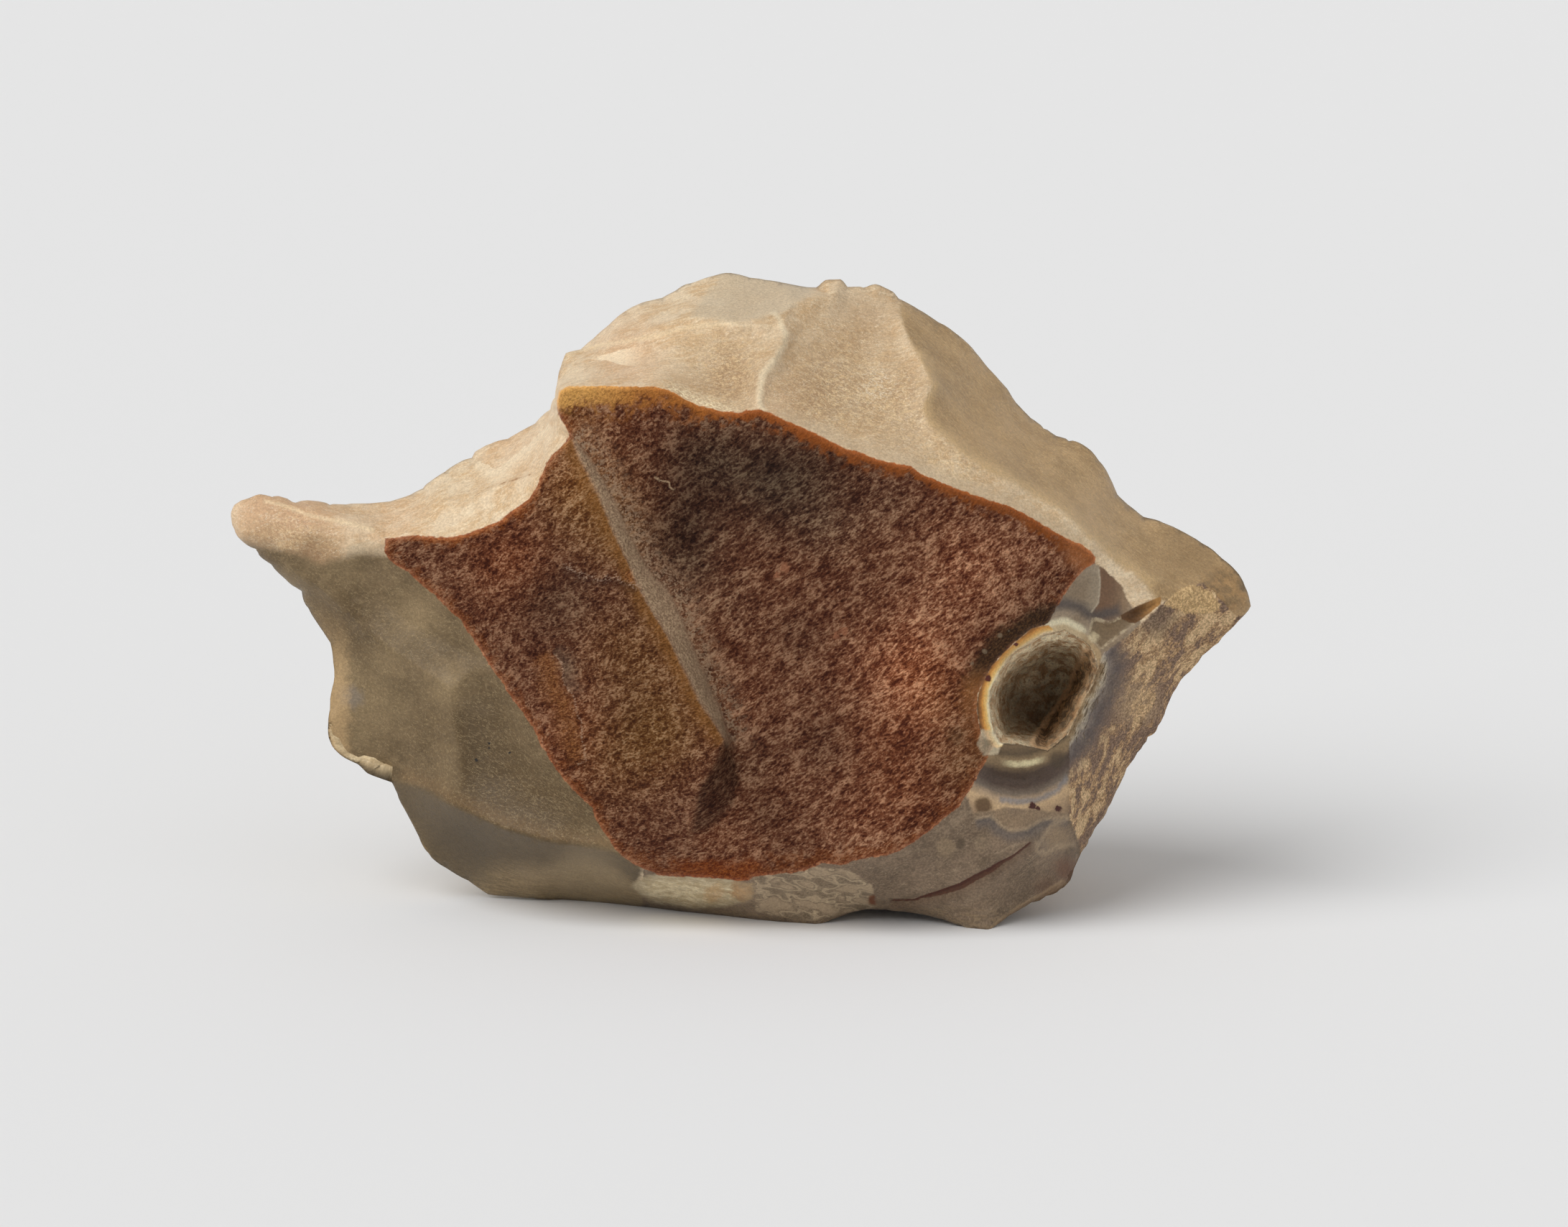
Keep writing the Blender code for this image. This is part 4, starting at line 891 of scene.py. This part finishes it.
def patina():
    """Iron-stained skin: fine fibres over mottles, rust-brown, greyer or more ochre in places."""
    value = plus(times(weave, 0.85), swing(streaks(38, 2.2, 1.1, 4, 0.62), 0.55))
    value = plus(value, swing(clouds, 0.3))
    value = plus(plus(times(value, 1.2), times(skin_threads, 0.13)), -0.065)

    def browns(*colours):
        return bands(value, 0.2, 0.8, list(zip((0.34, 0.435, 0.50, 0.575, 0.68), colours)))

    coat = Coats(browns((66, 26, 11), (100, 53, 32), (118, 71, 48), (140, 94, 67), (184, 138, 106)))
    ashen = browns((58, 33, 22), (88, 59, 43), (108, 77, 58), (136, 104, 80), (182, 154, 122))
    amber = browns((84, 44, 14), (110, 66, 28), (128, 84, 42), (152, 106, 62), (196, 154, 110))
    ruddy = browns((74, 28, 11), (110, 54, 27), (132, 70, 40), (158, 94, 60), (206, 148, 110))
    coat(attribute("ashen"), ashen, 0.8)
    coat(attribute("ruddy"), ruddy, 0.9)
    coat(attribute("amber"), amber, 0.9)
    return shaded(coat.colour, plus(1.02, attribute("glow")))


def rims(colour):
    """Amber where the brown skin thins out along the field's top, and rust along its other edges."""
    coat = Coats(colour)
    reach = between(below(up_view, 9.5, 13), 1.1, 2.4)
    reach = times(reach, step(lumps, 0.35, 0.65, 0.4, 1.7))
    edge = sums("DIVIDE", frayed(attribute("skin"), 1.8), reach)
    rust = blend(step(weave, 0.42, 0.6), (138, 68, 24), (184, 108, 52))
    rust_share = plus(0.42, times(spot(-36, 57, 13, 0.7), 0.4))
    coat(times(below(edge, 0.2, 1.4), rust_share), rust)
    side, past = line_parts("top")
    within = times(side, -1)
    reach = times(between(step(across_view, -20, 0), 3.8, 1.7), step(lumps, 0.36, 0.64, 0.55, 1.4))
    depth = sums("DIVIDE", frayed(within, 2.8), reach)
    warm = Coats(blend(step(across_view, -23.5, -10), (246, 186, 102), (204, 130, 58)))
    warm(step(across_view, -12, 2), (170, 92, 36))
    warm(step(depth, 0.2, 1.2), (146, 82, 40))
    warm(below(weave, 0.42, 0.52), (120, 62, 24), 0.35)
    gate = times(times(step(within, -0.6, 0), below(depth, 0.4, 1.4)), below(past, 0, 2))
    coat(gate, warm.colour, 0.88)
    coat(spot(46.6, 51.6, 3.4, 0.8, 2), (204, 128, 76), 0.6)
    foot_rust = times(below(frayed(up_view, 1.6), 8.8, 10.4), spot(-3, 9.5, 8, 0.5, 1))
    coat(foot_rust, blend(step(weave, 0.42, 0.6), (120, 50, 16), (176, 92, 34)), 0.75)
    strip = times(beside_line("brink", -1, 2.8, 1.4), zone("plate"))
    strip_tone = blend(step(weave, 0.4, 0.6), (132, 84, 36), (172, 118, 62))
    return coat(strip, strip_tone, 0.75)


def scars(colour):
    """Inner scars of the plate: a ragged step with painted shadow below it and a painted highlight along
    its edge, and an orange edge with a broken pale line of painted highlight.
    """
    coat = Coats(colour)
    orange = blend(step(weave, 0.42, 0.60), (112, 60, 26), (182, 120, 68))
    coat(beside_softly("scar", -1, 4.6), orange, 0.7)
    coat(times(beside_line("scar", 1, 2.6, 2), step(up_view, 31, 34)), (92, 74, 62), 0.5)
    # A broken pale line of painted highlight along the scar's edge.
    broken = step(weave, 0.47, 0.55)
    coat(times(mark("scar", 0.10, 0.08, 1.1), broken), (206, 170, 140), 0.8)
    # Painted shadow below the step, and a painted highlight along its ragged edge.
    coat(beside_line("step", -1, 1.8, 1.5), (66, 34, 22), 0.55)
    ragged_step_highlight = times(mark("step", 0.35, 0.3, 2.6), step(weave, 0.50, 0.58))
    coat(ragged_step_highlight, (204, 172, 146), 0.8)
    coat(spot(-14.5, 48.5, 1.3, 0.6, 2.2), orange, 0.8)
    for u, v, reach in ((6.4, 49.7, 0.9), (14.5, 41, 0.7), (13.2, 40.4, 0.5), (5.2, 48.6, 0.5)):
        coat(spot(u, v, reach, 0.5, 2.4), (186, 122, 88), 0.6)
    return coat(mark("scratches", 0.12, 0.1, 1.3), (190, 160, 126), 0.8)


def halo(colour):
    """Dark, olive ring in the brown skin round the burrow's upper left."""
    coat = Coats(colour)
    ring = frayed(from_rim, 2.2)
    share = times(step(ring, 0.5, 1.5), below(ring, 2.8, 5))
    share = times(share, step(up_view, 28, 37.5, 0.22, 0.92))
    tint = blend(step(weave, 0.42, 0.62), (52, 34, 20), (92, 64, 36))
    tint = blend(below(up_view, 32, 37), tint, (172, 114, 62))
    coat(share, tint)
    coat(spot(29.6, 26.8, 2, 0.8, 3), (98, 72, 42), 0.4)
    for u, v, reach in ((33.6, 38.2, 0.4), (31.9, 36.6, 0.3), (35.7, 40.4, 0.4), (36.9, 41, 0.3)):
        coat(spot(u, v, reach, 0.8, 1.2), (156, 138, 112), 0.6)
    return coat.colour


def scarp_stone():
    """The low scarp between the plate and the field: smooth grey-tan, darker towards its foot."""
    side = line_parts("foot")[0]
    coat = Coats(blend(pepper, (174, 142, 112), (206, 176, 142)))
    return coat(step(frayed(side, 1.2), -1.8, 0.8), (146, 114, 90), 0.55)


def scarp_share():
    """How much of the scarp's stone shows: all of it inside, and granules of it in the field's edge."""
    side, past = line_parts("foot")
    granules = step(plus(fine_noise, swing(speckle(drawn, 1, 3, 0.6), 0.8)), 0.46, 0.58)
    spill = times(below(side, 0, 4.6), plus(0.12, times(granules, 0.75)))
    spill = times(times(spill, step(side, -0.4, 0.1)), below(past, 0, 1))
    inside = step(frayed(attribute("scarp"), 0.8), -0.4, 0.5)
    return times(sums("MAXIMUM", inside, spill), step(frayed(up_view, 2), 24.5, 27))


def wall_shade():
    """Painted shadow on the wall under the plate's lower right corner: how much the skin there is darkened.
    """
    share = step(frayed(attribute("wall"), 1.2), -0.7, 0.9)
    return times(share, step(weave, 0.40, 0.64, 1, 0.75))


def collar_bands():
    """Rings of the burrow's collar: white at the rim, cream, amber, then brown."""
    coat = Coats(bands(from_rim, 0, 4, [
        (0, (240, 220, 186)), (0.2, (252, 236, 192)), (0.5, (252, 210, 130)),
        (0.95, (232, 166, 80)), (1.25, (160, 104, 48)), (1.7, (88, 60, 34))]))
    coat(step(up_view, 34.5, 37.5), (150, 98, 44), 0.45)
    for u, v, reach in ((34.1, 34.5, 0.55), (37.8, 39.2, 0.4)):
        coat(spot(u, v, reach, 0.5, 0.8), (92, 36, 24))
    return coat.colour


def burrow():
    """Rough brown wall of the burrow, with painted shade darkening its floor, and a ledge with a painted
    highlight along it and a ragged strip beyond it.
    """
    crumbs = step(speckle(drawn, 1.4, 5, 0.72), 0.40, 0.60)
    coat = Coats(blend(crumbs, (184, 146, 106), (255, 238, 200)))
    fibres = times(step(streaks(38, 2.2, 0.7, 5, 0.75), 0.46, 0.60), below(across_view, 38, 44))
    coat(fibres, (244, 210, 166), 0.5)
    coat(step(speckle(drawn, 0.7, 4, 0.75), 0.52, 0.62), (98, 70, 46), 0.45)
    # Painted shade on the burrow's floor.
    coat(attribute("floor_shade"), (76, 52, 32), 0.65)
    strip = blend(step(lumps, 0.42, 0.58), (98, 70, 44), (198, 156, 112))
    coat(beside_line("ledge", 1, 6, 0.8), strip, 0.85)
    # A painted highlight along the ledge.
    return coat(mark("ledge", 0.3, 0.25, 1.4), (222, 184, 142), 0.8)


def back_stone():
    """The side away: struck scars in buff, grey and olive flint, and a broad rind of rough cortex."""
    share = plus(attribute("tints"), swing(clouds, 1.6))
    grain_share = step(streaks(-12, 3.4, 0.8, 5, 0.7), 0.46, 0.66)
    scar = Coats(blend(grain_share, (144, 127, 100), (170, 150, 118)))
    scar(step(share, 0.05, 0.45), blend(grain_share, (186, 162, 124), (208, 184, 144)))
    scar(step(share, 0.6, 0.95), blend(grain_share, (210, 186, 146), (230, 210, 172)))
    scar(crests(streaks(-20, 2.4, 1, 4), 0.012), (238, 220, 186), 0.4)
    # Ridges between the scars are lightened: partly the paler colour of thin edges, partly painted
    # highlight.
    scar(step(attribute("edge"), 0.12, 0.7), (240, 220, 184), 0.6)
    # Painted shade in the deepest middles of the scars.
    scar(step(attribute("cuts"), 1, 2.4), (120, 100, 76), 0.3)
    broad = plus(streaks(30, 4.2, 2.6, 5, 0.66), swing(lumps, 0.3))
    rind = Coats(blend(pepper, (138, 110, 88), (166, 138, 112)))
    rind(step(broad, 0.42, 0.50), blend(pepper, (184, 150, 112), (210, 178, 136)))
    rind(step(broad, 0.53, 0.61), blend(pepper, (210, 182, 142), (234, 208, 168)))
    rind_edge = frayed(attribute("rind"), 1.6)
    rind(below(rind_edge, 0, 1.6), (236, 218, 186), 0.6)
    return scar(step(rind_edge, -0.2, 0.2), rind.colour)


def layered():
    """All of the stone of the front, one kind over another."""
    coat = Coats(cream_flint())
    for name, soft, colour in (
            ("slope", 0.5, slope_flint()), ("shade", 0.8, olive_flint()), ("hollow", 0.5, hollow_flint()),
            ("grey", 0.12, grey_flint()), ("chips", 0.2, chips_flint()), ("pane", 0.15, pane_flint()),
            ("under", 0.2, under_bands()), ("cortex", 0.15, cortex()), ("chalk", 0.35, chalk())):
        coat(zone(name, soft), colour)
    amber_floor = blend(step(across_view, 54, 57.5), (96, 66, 38), (170, 124, 68))
    return coat(zone("pocket", 0.1, 0.2), amber_floor)


def skinned(colour):
    """The brown skin, the scarp, and the burrow with its collar, on the front only."""
    coat = Coats(colour)
    on_front = attribute("front")
    brown = halo(scars(rims(patina())))
    brown = blend(scarp_share(), brown, scarp_stone())
    # Painted shadow: the skin on the wall under the plate's corner is darkened to half.
    brown = shaded(brown, step(wall_shade(), 0, 1, 1, 0.50))
    coat(zone("skin", 0.1, 0.8), brown, on_front)
    coat(zone("collar", 0.12, 0.4), collar_bands(), on_front)
    coat(zone("lens", 0.2, 0.6), (220, 204, 172), times(on_front, 0.6))
    return coat(zone("hole", 0.1, 0.7), burrow(), on_front)


front_colour = skinned(layered())
whole = Coats(blend(attribute("around"), back_stone(), front_colour))
bare = step(attribute("skin"), 0.3, -0.2)
# Sharp convex edges off the brown skin are lightened: partly wear of thin edges, partly painted highlight.
wear_and_highlight = times(step(attribute("edge"), 0.5, 2.5, 0, 0.35), step(across_view, -52, -40, 0.3, 1))
whole(wear_and_highlight, (226, 202, 164), bare)
feed(surface.inputs["Base Color"], shaded(whole.colour, step(fine_noise, 0.3, 0.7, 0.84, 1.16)))

brown_share = times(step(attribute("skin"), 0, 0.8), attribute("front"))
rough_share = sums("MAXIMUM", times(zone("cortex", 0.5), attribute("around")), zone("rind", 0.5))
rough_share = sums("MAXIMUM", rough_share, times(zone("hole"), attribute("front")))
roughness = between(rough_share, between(brown_share, 0.48, 0.6), 0.85)
feed(surface.inputs["Roughness"], plus(roughness, swing(fine_noise, 0.3)))
feed(surface.inputs["Specular IOR Level"], between(brown_share, 0.30, 0.12))

height = plus(times(fine_noise, 0.6), times(lumps, 0.5))
height = plus(height, times(brown_share, plus(times(weave, 4), times(skin_threads, 1.5))))
height = plus(height, times(rough_share, times(speckle(drawn, 1, 5, 0.75), 4)))
bump = made("ShaderNodeBump", {"Strength": 1, "Distance": BUMP_RISE, "Height": height})
feed(surface.inputs["Normal"], bump)

mesh.materials.clear()
mesh.materials.append(material)
mesh.shade_smooth()
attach(stone, "root")
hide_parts("flint_nodule")


# ---------------------------------------------------------------- studio

FLAT_REACH = 2.4             # metres from the middle to where the backdrop starts to curve up
RIM_CURVE = 0.9              # metres, the radius of that curve


def pale_backdrop():
    """A pale round sweep: a flat floor whose rim curves up on every side."""
    material = bpy.data.materials.new("backdrop")
    material.use_nodes = True
    paint = material.node_tree.nodes["Principled BSDF"]
    paint.inputs["Base Color"].default_value = tone(236, 236, 236)
    paint.inputs["Roughness"].default_value = 0.95
    paint.inputs["Specular IOR Level"].default_value = 0.1
    profile = [(FLAT_REACH, 0.0)]
    profile += [(FLAT_REACH + RIM_CURVE * math.sin(a), RIM_CURVE * (1 - math.cos(a)))
                for a in np.linspace(0.1, 1.3, 12)]
    shape = bmesh.new()
    sides = 96
    rings = []
    for radius, rise in profile:
        turns = [2 * math.pi * k / sides for k in range(sides)]
        rings.append([shape.verts.new((radius * math.cos(t), radius * math.sin(t), rise)) for t in turns])
    shape.faces.new(rings[0])
    for lower, upper in zip(rings, rings[1:]):
        for k in range(sides):
            following = (k + 1) % sides
            shape.faces.new([lower[k], upper[k], upper[following], lower[following]])
    mesh = bpy.data.meshes.new("backdrop")
    shape.to_mesh(mesh)
    shape.free()
    mesh.shade_smooth()
    mesh.materials.append(material)
    floor = bpy.data.objects.new("backdrop", mesh)
    bpy.context.scene.collection.objects.link(floor)


def soft_sun(name, towards, strength, spread, only=None):
    """A broad, even light that shines from a direction, on everything or on one thing only."""
    lamp = bpy.data.lights.new(name, "SUN")
    lamp.energy = strength
    lamp.angle = math.radians(spread)
    light = bpy.data.objects.new(name, lamp)
    light.rotation_euler = Vector(towards).to_track_quat("Z", "Y").to_euler()
    bpy.context.scene.collection.objects.link(light)
    if only:
        lit = bpy.data.collections.new("lit by " + name)
        lit.objects.link(only)
        light.light_linking.receiver_collection = lit


def camera():
    lens = bpy.data.cameras.new("camera")
    lens.sensor_width = SENSOR
    lens.lens = SENSOR * VIEW_DISTANCE / SEEN_WIDTH
    lens.clip_end = 20
    eye = bpy.data.objects.new("camera", lens)
    eye.location = AIM - AWAY * VIEW_DISTANCE
    eye.rotation_euler = AWAY.to_track_quat("-Z", "Y").to_euler()
    bpy.context.scene.collection.objects.link(eye)
    bpy.context.scene.camera = eye


pale_backdrop()
soft_sun("key", (-0.62, -0.45, 0.85), 2.1, 50.0)
soft_sun("fill", (0.8, -0.7, 0.35), 0.25, 80.0)
soft_sun("rear", (0.80, 0.60, 0.02), 1.2, 24.0, only=stone)
world = bpy.data.worlds.new("studio")
bpy.context.scene.world = world
world.use_nodes = True
world.node_tree.nodes["Background"].inputs["Color"].default_value = (1.0, 1.0, 1.0, 1.0)
world.node_tree.nodes["Background"].inputs["Strength"].default_value = 0.40
bpy.context.scene.view_settings.view_transform = "Standard"
camera()
